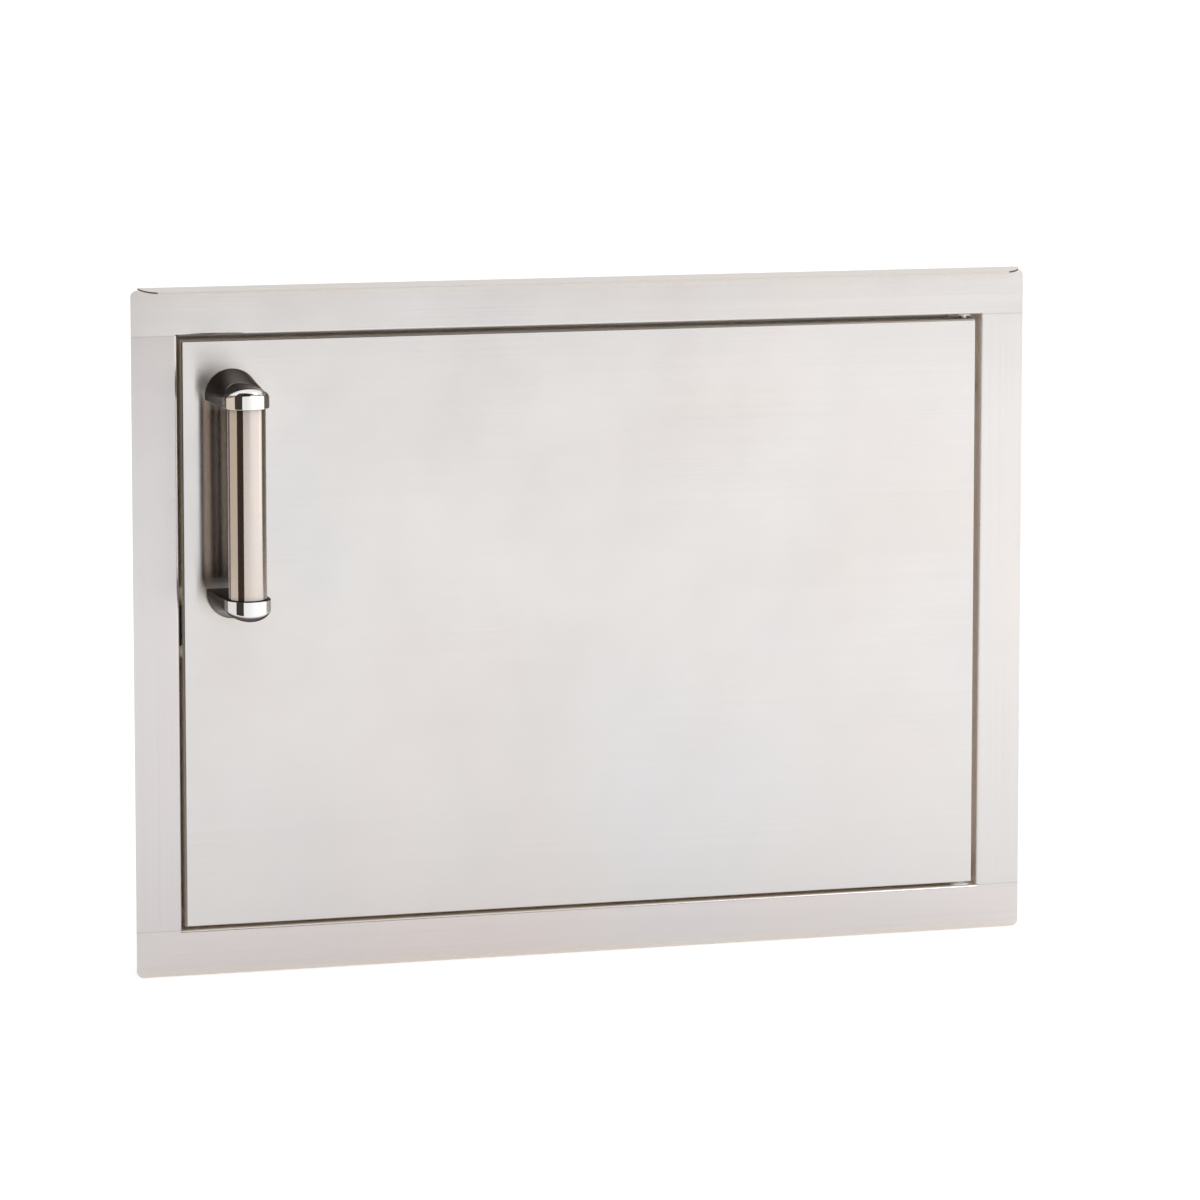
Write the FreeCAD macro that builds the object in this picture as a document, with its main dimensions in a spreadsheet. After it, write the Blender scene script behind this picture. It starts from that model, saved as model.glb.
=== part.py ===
import FreeCAD, Part
import math
import os
import Sketcher

os.makedirs("parts", exist_ok=True)
doc = FreeCAD.newDocument("bbq_island_access_door")
V = FreeCAD.Vector

# Origin: middle of the wall cut-out, on the wall's face. X runs right, Y into the wall, Z up.
# All sizes are in millimetres, angles in degrees.

# Driving sizes
SIZES = {
    # Face frame
    "frame_wide": 686.0,
    "frame_high": 508.0,
    "face_width": 33.8,
    "frame_sheet": 1.2,
    "frame_bend": 0.8,
    "frame_corner": 5.0,
    "jamb_deep": 57.0,
    "return_wide": 12.0,
    "fixing_dia": 5.0,
    "fixing_back": 45.0,
    "fixing_apart": 300.0,
    # Drip lip along the top edge
    "lip_reach": 17.0,
    "lip_droop": 8.0,
    "lip_bend": 1.2,
    "lip_rise": 2.0,
    # Door panel and the gaps round it
    "gap_left": 2.6,
    "gap_right": 3.7,
    "gap_top": 3.2,
    "gap_low": 2.4,
    "door_thick": 20.0,
    "door_sheet": 1.0,
    "door_bend": 0.6,
    "liner_flange": 5.0,
    "liner_fit": 0.1,
    # Pivot line
    "pivot_in": 11.5,
    "pivot_back": 7.5,
    "pin_dia": 6.0,
    "pin_play": 0.05,
    # Hinge brackets inside the door
    "bracket_sheet": 1.5,
    "bracket_bend": 0.5,
    "bracket_long": 19.0,
    "bracket_deep": 11.6,
    "upper_bracket_high": 46.0,
    "lower_bracket_high": 36.0,
    "notch_wide": 20.0,
    "notch_deep": 12.0,
    "notch_corner": 2.0,
    # Upper pivot: spring-loaded pin
    "pin_tip": 3.2,
    "pin_tip_chamfer": 0.8,
    "pin_travel": 9.0,
    "pin_bend_drop": 1.0,
    "pin_bend_radius": 9.0,
    "tail_out": 15.2,
    "slot_play": 0.6,
    "clip_thick": 0.9,
    "clip_dia": 9.2,
    "clip_groove": 0.5,
    "clip_slot": 3.4,
    "grip_dia": 11.0,
    "grip_clear": 2.4,
    "grip_end": 2.5,
    "grip_round": 1.5,
    "spring_wire": 0.9,
    "spring_mean_dia": 7.9,
    "spring_turns": 8.0,
    "spring_flat": 0.4,
    "spring_blend": 0.3,
    "bushing_dia": 9.2,
    "bushing_flange_dia": 12.0,
    "bushing_flange": 1.0,
    "bushing_out": 3.5,
    # Lower pivot
    "stud_head_dia": 10.0,
    "stud_head": 2.0,
    "stud_up": 14.2,
    "stud_chamfer": 0.8,
    "washer_dia": 15.0,
    "washer_bore": 6.2,
    "washer_clear": 0.1,
    "lower_bushing_dia": 8.0,
    "lower_bushing_flange_dia": 11.0,
    "lower_bushing_flange": 1.0,
    "lower_bushing_over": 0.6,
    "lower_bushing_fit": 0.05,
    # Door stops
    "stop_sheet": 1.0,
    "stop_bend": 0.8,
    "stop_leg": 12.0,
    "stop_short": 18.2,
    "stop_catch_gap": 52.0,
    "bumper_thick": 1.6,
    "bumper_gap": 0.2,
    "bumper_dia": 9.0,
    "bumper_edge": 0.6,
    "bumper_end": 18.0,
    # Magnetic catch
    "catch_z": 6.0,
    "catch_high": 30.0,
    "catch_plate": 2.0,
    "catch_front": 4.2,
    "catch_plate_long": 49.0,
    "catch_out": 17.2,
    "catch_head_clear": 1.1,
    "catch_head_long": 20.9,
    "catch_round": 1.5,
    "catch_wall": 3.0,
    "catch_cavity_deep": 15.0,
    "catch_cavity_wide": 8.4,
    "pole_thick": 1.5,
    "pole_gap": 0.1,
    "pole_step": 1.0,
    "magnet_thick": 5.0,
    "catch_end_play": 1.0,
    "catch_screw_apart": 18.0,
    "catch_screw_back": 5.0,
    "catch_screw_dia": 3.0,
    "catch_screw_head_dia": 5.8,
    "catch_screw_head": 1.8,
    "strike_thick": 1.2,
    "strike_wide": 11.6,
    "strike_high": 48.0,
    "strike_corner": 2.0,
    "rivet_apart": 38.0,
    "rivet_dia": 3.2,
    "rivet_head_dia": 5.6,
    "rivet_head": 0.9,
    "rivet_tail_dia": 4.6,
    "rivet_tail": 2.0,
    # Handle
    "handle_in": 37.6,
    "handle_down": 113.9,
    "handle_out": 55.2,
    "handle_span": 139.1,
    "tube_dia": 28.0,
    "tube_wall": 1.5,
    "socket_deep": 6.0,
    "collar_dia": 33.0,
    "crown_high": 15.2,
    "crown_radius": 27.0,
    "crown_edge": 5.0,
    "neck_reach": 30.0,
    "foot_radius": 21.5,
    "foot_rise": 1.2,
    "leg_edge": 0.8,
    "handle_screw_up": 9.5,
    "handle_screw_dia": 6.0,
    "handle_screw_play": 0.3,
    "handle_screw_deep": 16.0,
    "handle_screw_head_dia": 10.0,
    "handle_screw_head": 4.0,
    "handle_tap_extra": 3.0,
    "handle_washer_dia": 12.4,
    "handle_washer": 1.2,
    "backing_wide": 40.0,
    "backing_thick": 2.0,
    "backing_over": 6.0,
    "backing_corner": 5.0,
    "access_dia": 14.0,
    "plug_rim": 1.5,
    "plug_cap": 1.2,
    "plug_stem": 3.0,
    "plug_fit": 0.05,
    "plug_wall": 1.2,
}

sheet = doc.addObject("Spreadsheet::Sheet", "dims")
for row, (name, size) in enumerate(SIZES.items(), 1):
    sheet.set(f"A{row}", name)
    sheet.set(f"B{row}", str(size))
    sheet.setAlias(f"B{row}", name)
doc.recompute()

# Planes and lines that several pieces share
JAMB_X = "(dims.frame_wide / 2 - dims.face_width)"
JAMB_Z = "(dims.frame_high / 2 - dims.face_width)"
FACE_Y = "(-dims.frame_sheet)"
DOOR_LEFT = f"(dims.gap_left - {JAMB_X})"
DOOR_RIGHT = f"({JAMB_X} - dims.gap_right)"
DOOR_TOP = f"({JAMB_Z} - dims.gap_top)"
DOOR_LOW = f"(dims.gap_low - {JAMB_Z})"
DOOR_BACK = f"({FACE_Y} + dims.door_thick)"
SKIN_BACK = f"({FACE_Y} + dims.door_sheet)"
LINER_FRONT = f"({DOOR_BACK} - dims.door_sheet)"
PIVOT_X = f"({JAMB_X} - dims.pivot_in)"
PIVOT_Y = f"({FACE_Y} + dims.pivot_back)"
BORE = "(dims.pin_dia / 2 + dims.pin_play)"
EAR_TOP = f"({DOOR_TOP} - dims.door_sheet)"
EAR_UNDER = f"({EAR_TOP} - dims.bracket_sheet)"
LOW_EAR = f"({EAR_TOP} - dims.upper_bracket_high)"
CLIP_UNDER = f"({EAR_UNDER} - dims.clip_thick)"
TAIL_Z = f"({LOW_EAR} - dims.pin_bend_drop - dims.pin_bend_radius)"
TAIL_Y = f"({DOOR_BACK} - {PIVOT_Y} + dims.tail_out)"
STOP_FRONT = f"({DOOR_BACK} + dims.bumper_thick + dims.bumper_gap)"
STRIKE_BACK = f"({DOOR_BACK} + dims.strike_thick)"
CATCH_MID_X = f"((dims.catch_plate + dims.catch_out) / 2 - {JAMB_X})"
CATCH_HEAD_Y = f"({STRIKE_BACK} + dims.catch_head_clear)"
CATCH_SCREW_Y = f"({FACE_Y} + dims.catch_front + dims.catch_plate_long - dims.catch_screw_back)"
HANDLE_X = f"({DOOR_LEFT} + dims.handle_in)"
HANDLE_Y = f"({FACE_Y} - dims.handle_out)"
HANDLE_Z = f"({DOOR_TOP} - dims.handle_down)"
SCREW_REACH = "(dims.handle_span / 2 + dims.handle_screw_up)"
SCREW_Z = [f"({HANDLE_Z} + {SCREW_REACH})", f"({HANDLE_Z} - {SCREW_REACH})"]
RIVET_Z = ["(dims.catch_z + dims.rivet_apart / 2)", "(dims.catch_z - dims.rivet_apart / 2)"]
WASHER_Y = f"({SKIN_BACK} + dims.backing_thick)"
HEAD_Y = f"({WASHER_Y} + dims.handle_washer)"

nodes = []


def value(expression):
    return float(sheet.evalExpression(expression))


# Sketching helpers: every point is tied to sheet expressions


def new_body(label):
    body = doc.addObject("PartDesign::Body", label)
    body.Label = label
    nodes.append(body)
    return body


def place(body, x="0", y="0", z="0", turn=None):
    if turn:
        body.Placement = FreeCAD.Placement(V(0, 0, 0), FreeCAD.Rotation(*turn))
    for axis, expression in (("x", x), ("y", y), ("z", z)):
        body.setExpression(f"Placement.Base.{axis}", expression)


def sketch_on(body, role, offset="0"):
    sketch = body.newObject("Sketcher::SketchObject", "Sketch")
    plane = [item for item in body.Origin.OriginFeatures if item.Role == role][0]
    sketch.AttachmentSupport = (plane, [""])
    sketch.MapMode = "FlatFace"
    sketch.setExpression("AttachmentOffset.Base.z", offset)
    return sketch


def tie(sketch, kind, geometry, point, expression):
    if point is None:
        constraint = Sketcher.Constraint(kind, geometry, value(expression))
    else:
        constraint = Sketcher.Constraint(kind, geometry, point, value(expression))
    index = sketch.addConstraint(constraint)
    sketch.setExpression(f"Constraints[{index}]", expression)


def arc_between(start, end, centre, anticlockwise):
    first, last = (start, end) if anticlockwise else (end, start)
    low = math.atan2(first.y - centre.y, first.x - centre.x)
    high = math.atan2(last.y - centre.y, last.x - centre.x)
    if high <= low:
        high += 2 * math.pi
    circle = Part.Circle(centre, V(0, 0, 1), (start - centre).Length)
    return Part.ArcOfCircle(circle, low, high)


def outline(sketch, points, arcs=None, closed=True):
    arcs = arcs or {}
    corners = [V(value(a), value(b), 0) for a, b in points]
    count = len(points) if closed else len(points) - 1
    ends = []
    for i in range(count):
        start = corners[i]
        end = corners[(i + 1) % len(points)]
        if i in arcs:
            across, up, anticlockwise = arcs[i]
            centre = V(value(across), value(up), 0)
            geometry = sketch.addGeometry(arc_between(start, end, centre, anticlockwise), False)
            ends.append((geometry, 1, 2) if anticlockwise else (geometry, 2, 1))
            chord = end - start
            if abs(chord.y) > abs(chord.x):
                tie(sketch, "DistanceX", geometry, 3, across)
            else:
                tie(sketch, "DistanceY", geometry, 3, up)
        else:
            geometry = sketch.addGeometry(Part.LineSegment(start, end), False)
            ends.append((geometry, 1, 2))
    for i, (geometry, start, end) in enumerate(ends):
        tie(sketch, "DistanceX", geometry, start, points[i][0])
        tie(sketch, "DistanceY", geometry, start, points[i][1])
        if closed or i + 1 < count:
            following = ends[(i + 1) % count]
            sketch.addConstraint(Sketcher.Constraint("Coincident", geometry, end, following[0], following[1]))
    if not closed:
        tie(sketch, "DistanceX", ends[-1][0], ends[-1][2], points[-1][0])
        tie(sketch, "DistanceY", ends[-1][0], ends[-1][2], points[-1][1])


def rectangle(sketch, left, low, right, high):
    outline(sketch, [(left, low), (right, low), (right, high), (left, high)])


def circle(sketch, across, up, radius):
    centre = V(value(across), value(up), 0)
    geometry = sketch.addGeometry(Part.Circle(centre, V(0, 0, 1), value(radius)), False)
    tie(sketch, "DistanceX", geometry, 3, across)
    tie(sketch, "DistanceY", geometry, 3, up)
    tie(sketch, "Radius", geometry, None, radius)


# Feature helpers


def pad(body, sketch, length, symmetric=False, reverse=False):
    feature = body.newObject("PartDesign::Pad", "Pad")
    feature.Profile = sketch
    feature.SideType = "Symmetric" if symmetric else "One side"
    feature.Reversed = reverse
    feature.setExpression("Length", length)
    doc.recompute()
    return feature


def pocket(body, sketch, length=None, symmetric=False, reverse=False):
    before = body.Shape.Volume
    feature = body.newObject("PartDesign::Pocket", "Pocket")
    feature.Profile = sketch
    feature.SideType = "Symmetric" if symmetric else "One side"
    feature.Reversed = reverse
    if length is None:
        feature.Type = "ThroughAll"
    else:
        feature.setExpression("Length", length)
    doc.recompute()
    if body.Shape.Volume > before - 0.01:
        raise RuntimeError(f"{body.Label}: a pocket cuts nothing")
    return feature


def revolve(body, sketch):
    feature = body.newObject("PartDesign::Revolution", "Revolution")
    feature.Profile = sketch
    feature.ReferenceAxis = (sketch, ["V_Axis"])
    feature.Angle = 360
    doc.recompute()
    return feature


def edges_along(shape, axis, spots):
    # Straight edges parallel to one axis that pass through the given spots of the other two
    keep = [i for i in range(3) if "xyz"[i] != axis]
    wanted = [(value(a), value(b)) for a, b in spots]
    found = []
    for number, edge in enumerate(shape.Edges, 1):
        if edge.Curve.TypeId != "Part::GeomLine":
            continue
        ends = [[vertex.Point[i] for i in keep] for vertex in edge.Vertexes]
        for spot in wanted:
            if all(abs(end[0] - spot[0]) + abs(end[1] - spot[1]) < 1e-4 for end in ends):
                found.append(f"Edge{number}")
    if not found:
        raise RuntimeError("no edge at the given spots")
    return found


def round_edges(body, kind, radius, names):
    base = body.Tip
    feature = body.newObject(f"PartDesign::{kind}", kind)
    feature.Base = (base, names)
    feature.setExpression("Radius" if kind == "Fillet" else "Size", radius)
    doc.recompute()
    return feature


def fillet(body, radius, axis, spots):
    return round_edges(body, "Fillet", radius, edges_along(body.Tip.Shape, axis, spots))


def turned(label, points, arcs=None):
    # A round piece about its own Z axis; points are radius and height
    body = new_body(label)
    sketch = sketch_on(body, "XZ_Plane")
    outline(sketch, points, arcs)
    revolve(body, sketch)
    return body


ALONG_MINUS_Y = (V(1, 0, 0), 90)
ALONG_PLUS_Y = (V(1, 0, 0), -90)
ALONG_MINUS_X = (V(0, 1, 0), -90)


# Face frame: rails run the full width, stiles stand between them


def rail(label, side):
    body = new_body(label)
    edge = f"{side} * dims.frame_high / 2"
    inner = f"{side} * {JAMB_Z}"
    outer = f"{side} * ({JAMB_Z} + dims.frame_sheet)"
    turned_in = f"{side} * ({JAMB_Z} - dims.return_wide)"
    rear = "dims.jamb_deep"
    rear_front = "(dims.jamb_deep - dims.frame_sheet)"
    half = f"({JAMB_X} + dims.frame_sheet)"

    profile = sketch_on(body, "YZ_Plane")
    outline(profile, [
        (FACE_Y, edge), ("0", edge), ("0", outer), (rear, outer),
        (rear, turned_in), (rear_front, turned_in), (rear_front, inner), (FACE_Y, inner),
    ])
    pad(body, profile, f"2 * {half}", symmetric=True)
    fillet(body, "dims.frame_bend", "x", [("0", outer), (rear_front, inner)])
    fillet(body, "dims.frame_bend + dims.frame_sheet", "x", [(FACE_Y, inner), (rear, outer)])

    ends = sketch_on(body, "XZ_Plane")
    for hand in (-1, 1):
        rectangle(ends, f"{hand} * {half}", inner, f"{hand} * dims.frame_wide / 2", edge)
    pad(body, ends, "dims.frame_sheet")
    corners = [(f"{hand} * dims.frame_wide / 2", edge) for hand in (-1, 1)]
    fillet(body, "dims.frame_corner", "y", corners)

    relief = sketch_on(body, "XZ_Plane")
    below = f"{side} * ({JAMB_Z} - dims.return_wide - dims.frame_sheet)"
    for hand in (-1, 1):
        rectangle(relief, f"{hand} * ({JAMB_X} - dims.return_wide)", inner,
                  f"{hand} * ({half} + dims.frame_sheet)", below)
    pocket(body, relief, symmetric=True)
    return body


def stile(label, side):
    body = new_body(label)
    edge = f"{side} * dims.frame_wide / 2"
    inner = f"{side} * {JAMB_X}"
    outer = f"{side} * ({JAMB_X} + dims.frame_sheet)"
    turned_in = f"{side} * ({JAMB_X} - dims.return_wide)"
    rear = "dims.jamb_deep"
    rear_front = "(dims.jamb_deep - dims.frame_sheet)"

    profile = sketch_on(body, "XY_Plane")
    outline(profile, [
        (edge, FACE_Y), (edge, "0"), (outer, "0"), (outer, rear),
        (turned_in, rear), (turned_in, rear_front), (inner, rear_front), (inner, FACE_Y),
    ])
    pad(body, profile, f"2 * {JAMB_Z}", symmetric=True)
    fillet(body, "dims.frame_bend", "z", [(outer, "0"), (inner, rear_front)])
    fillet(body, "dims.frame_bend + dims.frame_sheet", "z", [(inner, FACE_Y), (outer, rear)])

    holes = sketch_on(body, "YZ_Plane")
    for up in (-1, 1):
        circle(holes, "dims.fixing_back", f"{up} * dims.fixing_apart / 2", "dims.fixing_dia / 2")
    pocket(body, holes, reverse=side > 0)
    return body


def pivot_hole(body, radius, side):
    hole = sketch_on(body, "XY_Plane")
    circle(hole, PIVOT_X, PIVOT_Y, radius)
    pocket(body, hole, reverse=side > 0)


# The drip lip is the top rail's own sheet, bent forward above the face and cut round at its ends


def drip_lip(body):
    sine = "sin(dims.lip_droop * 1deg)"
    cosine = "cos(dims.lip_droop * 1deg)"
    outer = "(dims.lip_bend + dims.frame_sheet)"
    mid_y = f"({FACE_Y} - dims.lip_bend)"
    mid_z = f"(dims.frame_high / 2 + dims.lip_rise - {outer})"
    run = f"((dims.lip_reach - dims.lip_bend - {outer} * {sine}) / {cosine})"

    def lip_point(radius):
        across = f"{mid_y} - {radius} * {sine} - {run} * {cosine}"
        up = f"{mid_z} + {radius} * {cosine} - {run} * {sine}"
        return across, up

    corner_up = f"{mid_z} + {outer} * (1 + {sine}) / {cosine}"
    corner_low = f"{mid_z} + dims.lip_bend * (1 + {sine}) / {cosine}"
    half = "(dims.frame_wide / 2 - dims.frame_corner)"
    top = "dims.frame_high / 2"
    profile = sketch_on(body, "YZ_Plane")
    outline(profile, [
        ("0", top), ("0", corner_up), lip_point(outer), lip_point("dims.lip_bend"),
        (FACE_Y, corner_low), (FACE_Y, top),
    ])
    pad(body, profile, f"2 * {half}", symmetric=True)
    fillet(body, outer, "x", [("0", corner_up)])
    fillet(body, "dims.lip_bend", "x", [(FACE_Y, corner_low)])

    corners = sketch_on(body, "XY_Plane")
    front = f"({FACE_Y} - dims.lip_reach)"
    past = f"({front} - dims.frame_sheet)"
    for hand in (-1, 1):
        end = f"{hand} * {half}"
        inset = f"{hand} * ({half} - dims.lip_reach)"
        beyond = f"{hand} * ({half} + dims.frame_sheet)"
        outline(corners, [(end, FACE_Y), (inset, front), (inset, past), (beyond, past), (beyond, FACE_Y)],
                {0: (inset, FACE_Y, hand < 0)})
    pocket(body, corners, symmetric=True)


top_rail = rail("top_rail", 1)
drip_lip(top_rail)
pivot_hole(top_rail, "dims.bushing_dia / 2", 1)
bottom_rail = rail("bottom_rail", -1)
pivot_hole(bottom_rail, "dims.pin_dia / 2", -1)
left_stile = stile("left_stile", -1)
stile("right_stile", 1)

catch_screw_z = [f"(dims.catch_z {sign} dims.catch_screw_apart / 2)" for sign in ("+", "-")]
screw_holes = sketch_on(left_stile, "YZ_Plane")
for up in catch_screw_z:
    circle(screw_holes, CATCH_SCREW_Y, up, "dims.catch_screw_dia / 2")
pocket(left_stile, screw_holes)


# Door stops: angles welded to the jambs, with the door's back just clear of them


def level_stop(label, side):
    body = new_body(label)
    jamb = f"{side} * {JAMB_Z}"
    leg = f"{side} * ({JAMB_Z} - dims.stop_leg)"
    under = f"{side} * ({JAMB_Z} - dims.stop_sheet)"
    behind = f"({STOP_FRONT} + dims.stop_sheet)"
    rear = f"({STOP_FRONT} + dims.stop_leg)"
    profile = sketch_on(body, "YZ_Plane", f"-{JAMB_X}")
    outline(profile, [(STOP_FRONT, jamb), (STOP_FRONT, leg), (behind, leg), (behind, under), (rear, under), (rear, jamb)])
    pad(body, profile, f"2 * {JAMB_X} - dims.stop_short")
    fillet(body, "dims.stop_bend", "x", [(behind, under)])
    fillet(body, "dims.stop_bend + dims.stop_sheet", "x", [(STOP_FRONT, jamb)])


def upright_stop(label, low, high):
    body = new_body(label)
    jamb = f"-{JAMB_X}"
    leg = f"(dims.stop_leg - {JAMB_X})"
    beside = f"(dims.stop_sheet - {JAMB_X})"
    behind = f"({STOP_FRONT} + dims.stop_sheet)"
    rear = f"({STOP_FRONT} + dims.stop_leg)"
    profile = sketch_on(body, "XY_Plane", low)
    outline(profile, [(jamb, STOP_FRONT), (leg, STOP_FRONT), (leg, behind), (beside, behind), (beside, rear), (jamb, rear)])
    pad(body, profile, f"{high} - {low}")
    fillet(body, "dims.stop_bend", "z", [(beside, behind)])
    fillet(body, "dims.stop_bend + dims.stop_sheet", "z", [(jamb, STOP_FRONT)])


level_stop("stop_top", 1)
level_stop("stop_bottom", -1)
stop_end = f"({JAMB_Z} - dims.stop_leg)"
upright_stop("stop_left_upper", "(dims.catch_z + dims.stop_catch_gap / 2)", stop_end)
upright_stop("stop_left_lower", f"(-{stop_end})", "(dims.catch_z - dims.stop_catch_gap / 2)")

for label, sign in (("bumper_upper", 1), ("bumper_lower", -1)):
    shoulder = "dims.bumper_thick - dims.bumper_edge"
    bumper = turned(label, [
        ("0", "0"), ("dims.bumper_dia / 2", "0"), ("dims.bumper_dia / 2", shoulder),
        ("dims.bumper_dia / 2 - dims.bumper_edge", "dims.bumper_thick"), ("0", "dims.bumper_thick"),
    ])
    place(bumper, f"(dims.stop_leg + dims.stop_sheet) / 2 - {JAMB_X}", STOP_FRONT,
          f"{sign} * ({stop_end} - dims.bumper_end)", ALONG_MINUS_Y)


# Magnetic catch on the left jamb


housing = new_body("catch_housing")
plate_x = f"(dims.catch_plate - {JAMB_X})"
head_x = f"(dims.catch_out - {JAMB_X})"
plate_front = f"({FACE_Y} + dims.catch_front)"
plate_rear = f"({plate_front} + dims.catch_plate_long)"
head_rear = f"({CATCH_HEAD_Y} + dims.catch_head_long)"
body_sketch = sketch_on(housing, "XY_Plane", "dims.catch_z")
outline(body_sketch, [
    (f"-{JAMB_X}", plate_front), (plate_x, plate_front), (plate_x, CATCH_HEAD_Y), (head_x, CATCH_HEAD_Y),
    (head_x, head_rear), (plate_x, head_rear), (plate_x, plate_rear), (f"-{JAMB_X}", plate_rear),
])
pad(housing, body_sketch, "dims.catch_high", symmetric=True)
cavity_half = "(dims.catch_high / 2 - dims.catch_wall)"
cavity = sketch_on(housing, "XZ_Plane", f"-{CATCH_HEAD_Y}")
rectangle(cavity, f"{CATCH_MID_X} - dims.catch_cavity_wide / 2", f"dims.catch_z - {cavity_half}",
          f"{CATCH_MID_X} + dims.catch_cavity_wide / 2", f"dims.catch_z + {cavity_half}")
pocket(housing, cavity, "dims.catch_cavity_deep")
plate_holes = sketch_on(housing, "YZ_Plane")
for up in catch_screw_z:
    circle(plate_holes, CATCH_SCREW_Y, up, "dims.catch_screw_dia / 2")
pocket(housing, plate_holes)
fillet(housing, "dims.catch_round", "z", [(head_x, CATCH_HEAD_Y), (head_x, head_rear)])
fillet(housing, "dims.catch_round", "z", [(plate_x, plate_front)])

pole_front = f"({STRIKE_BACK} + dims.pole_gap)"
pole_rear = f"({CATCH_HEAD_Y} + dims.catch_cavity_deep)"
pole_half = f"({cavity_half} - dims.catch_end_play)"


def slab(label, left, front, low, right, rear, high):
    body = new_body(label)
    sketch = sketch_on(body, "XY_Plane", low)
    rectangle(sketch, left, front, right, rear)
    pad(body, sketch, f"{high} - {low}")
    return body


magnet_left = f"({CATCH_MID_X} - dims.magnet_thick / 2)"
magnet_right = f"({CATCH_MID_X} + dims.magnet_thick / 2)"
pole_low = f"(dims.catch_z - {pole_half})"
pole_high = f"(dims.catch_z + {pole_half})"
slab("catch_magnet", magnet_left, f"({pole_front} + dims.pole_step)", pole_low, magnet_right, pole_rear, pole_high)
slab("catch_pole_left", f"({magnet_left} - dims.pole_thick)", pole_front, pole_low, magnet_left, pole_rear, pole_high)
slab("catch_pole_right", magnet_right, pole_front, pole_low, f"({magnet_right} + dims.pole_thick)", pole_rear, pole_high)

for label, up in zip(("catch_screw_upper", "catch_screw_lower"), catch_screw_z):
    reach = "(dims.catch_plate + dims.frame_sheet)"
    screw = turned(label, [
        ("0", "-dims.catch_screw_head"), ("dims.catch_screw_head_dia / 3", "-dims.catch_screw_head"),
        ("dims.catch_screw_head_dia / 2", "-dims.catch_screw_head / 2"), ("dims.catch_screw_head_dia / 2", "0"),
        ("dims.catch_screw_dia / 2", "0"), ("dims.catch_screw_dia / 2", reach), ("0", reach),
    ])
    place(screw, plate_x, CATCH_SCREW_Y, up, ALONG_MINUS_X)


# Pivots that the frame holds


upper_bushing = turned("upper_bushing", [
    (BORE, "-dims.bushing_flange"), ("dims.bushing_flange_dia / 2", "-dims.bushing_flange"),
    ("dims.bushing_flange_dia / 2", "0"), ("dims.bushing_dia / 2", "0"),
    ("dims.bushing_dia / 2", "dims.frame_sheet + dims.bushing_out"), (BORE, "dims.frame_sheet + dims.bushing_out"),
])
place(upper_bushing, PIVOT_X, PIVOT_Y, JAMB_Z)

stud_radius = "dims.pin_dia / 2"
stud_top = "dims.stud_up"
stud = turned("lower_pivot_stud", [
    ("0", "-dims.frame_sheet - dims.stud_head"), ("dims.stud_head_dia / 2 - dims.stud_chamfer", "-dims.frame_sheet - dims.stud_head"),
    ("dims.stud_head_dia / 2", "dims.stud_chamfer - dims.frame_sheet - dims.stud_head"),
    ("dims.stud_head_dia / 2", "-dims.frame_sheet"), (stud_radius, "-dims.frame_sheet"),
    (stud_radius, f"{stud_top} - dims.stud_chamfer"), (f"{stud_radius} - dims.stud_chamfer", stud_top), ("0", stud_top),
])
place(stud, PIVOT_X, PIVOT_Y, f"-{JAMB_Z}")

washer_top = "(dims.gap_low - dims.lower_bushing_flange - dims.washer_clear)"
washer = turned("lower_washer", [
    ("dims.washer_bore / 2", "0"), ("dims.washer_dia / 2", "0"),
    ("dims.washer_dia / 2", washer_top), ("dims.washer_bore / 2", washer_top),
])
place(washer, PIVOT_X, PIVOT_Y, f"-{JAMB_Z}")


# Door skin: a pan with its open side to the back


skin = new_body("door_skin")
front = sketch_on(skin, "XZ_Plane", "dims.frame_sheet")
rectangle(front, DOOR_LEFT, DOOR_LOW, DOOR_RIGHT, DOOR_TOP)
pad(skin, front, "dims.door_thick", reverse=True)
rim_spots_z = [(FACE_Y, DOOR_LOW), (FACE_Y, DOOR_TOP)]
rim_spots_x = [(DOOR_LEFT, FACE_Y), (DOOR_RIGHT, FACE_Y)]
outer_edges = edges_along(skin.Shape, "x", rim_spots_z) + edges_along(skin.Shape, "z", rim_spots_x)
round_edges(skin, "Fillet", "dims.door_bend + dims.door_sheet", outer_edges)
inside = [f"({DOOR_LEFT} + dims.door_sheet)", f"({DOOR_LOW} + dims.door_sheet)",
          f"({DOOR_RIGHT} - dims.door_sheet)", f"({DOOR_TOP} - dims.door_sheet)"]
hollow = sketch_on(skin, "XZ_Plane", f"-{DOOR_BACK}")
rectangle(hollow, *inside)
pocket(skin, hollow, "dims.door_thick - dims.door_sheet", reverse=True)
inner_edges = (edges_along(skin.Shape, "x", [(SKIN_BACK, inside[1]), (SKIN_BACK, inside[3])])
               + edges_along(skin.Shape, "z", [(inside[0], SKIN_BACK), (inside[2], SKIN_BACK)]))
round_edges(skin, "Fillet", "dims.door_bend", inner_edges)

handle_holes = sketch_on(skin, "XZ_Plane", "dims.frame_sheet")
for up in SCREW_Z:
    circle(handle_holes, HANDLE_X, up, "dims.handle_screw_dia / 2 + dims.handle_screw_play")
pocket(skin, handle_holes, "dims.door_sheet")

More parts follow.
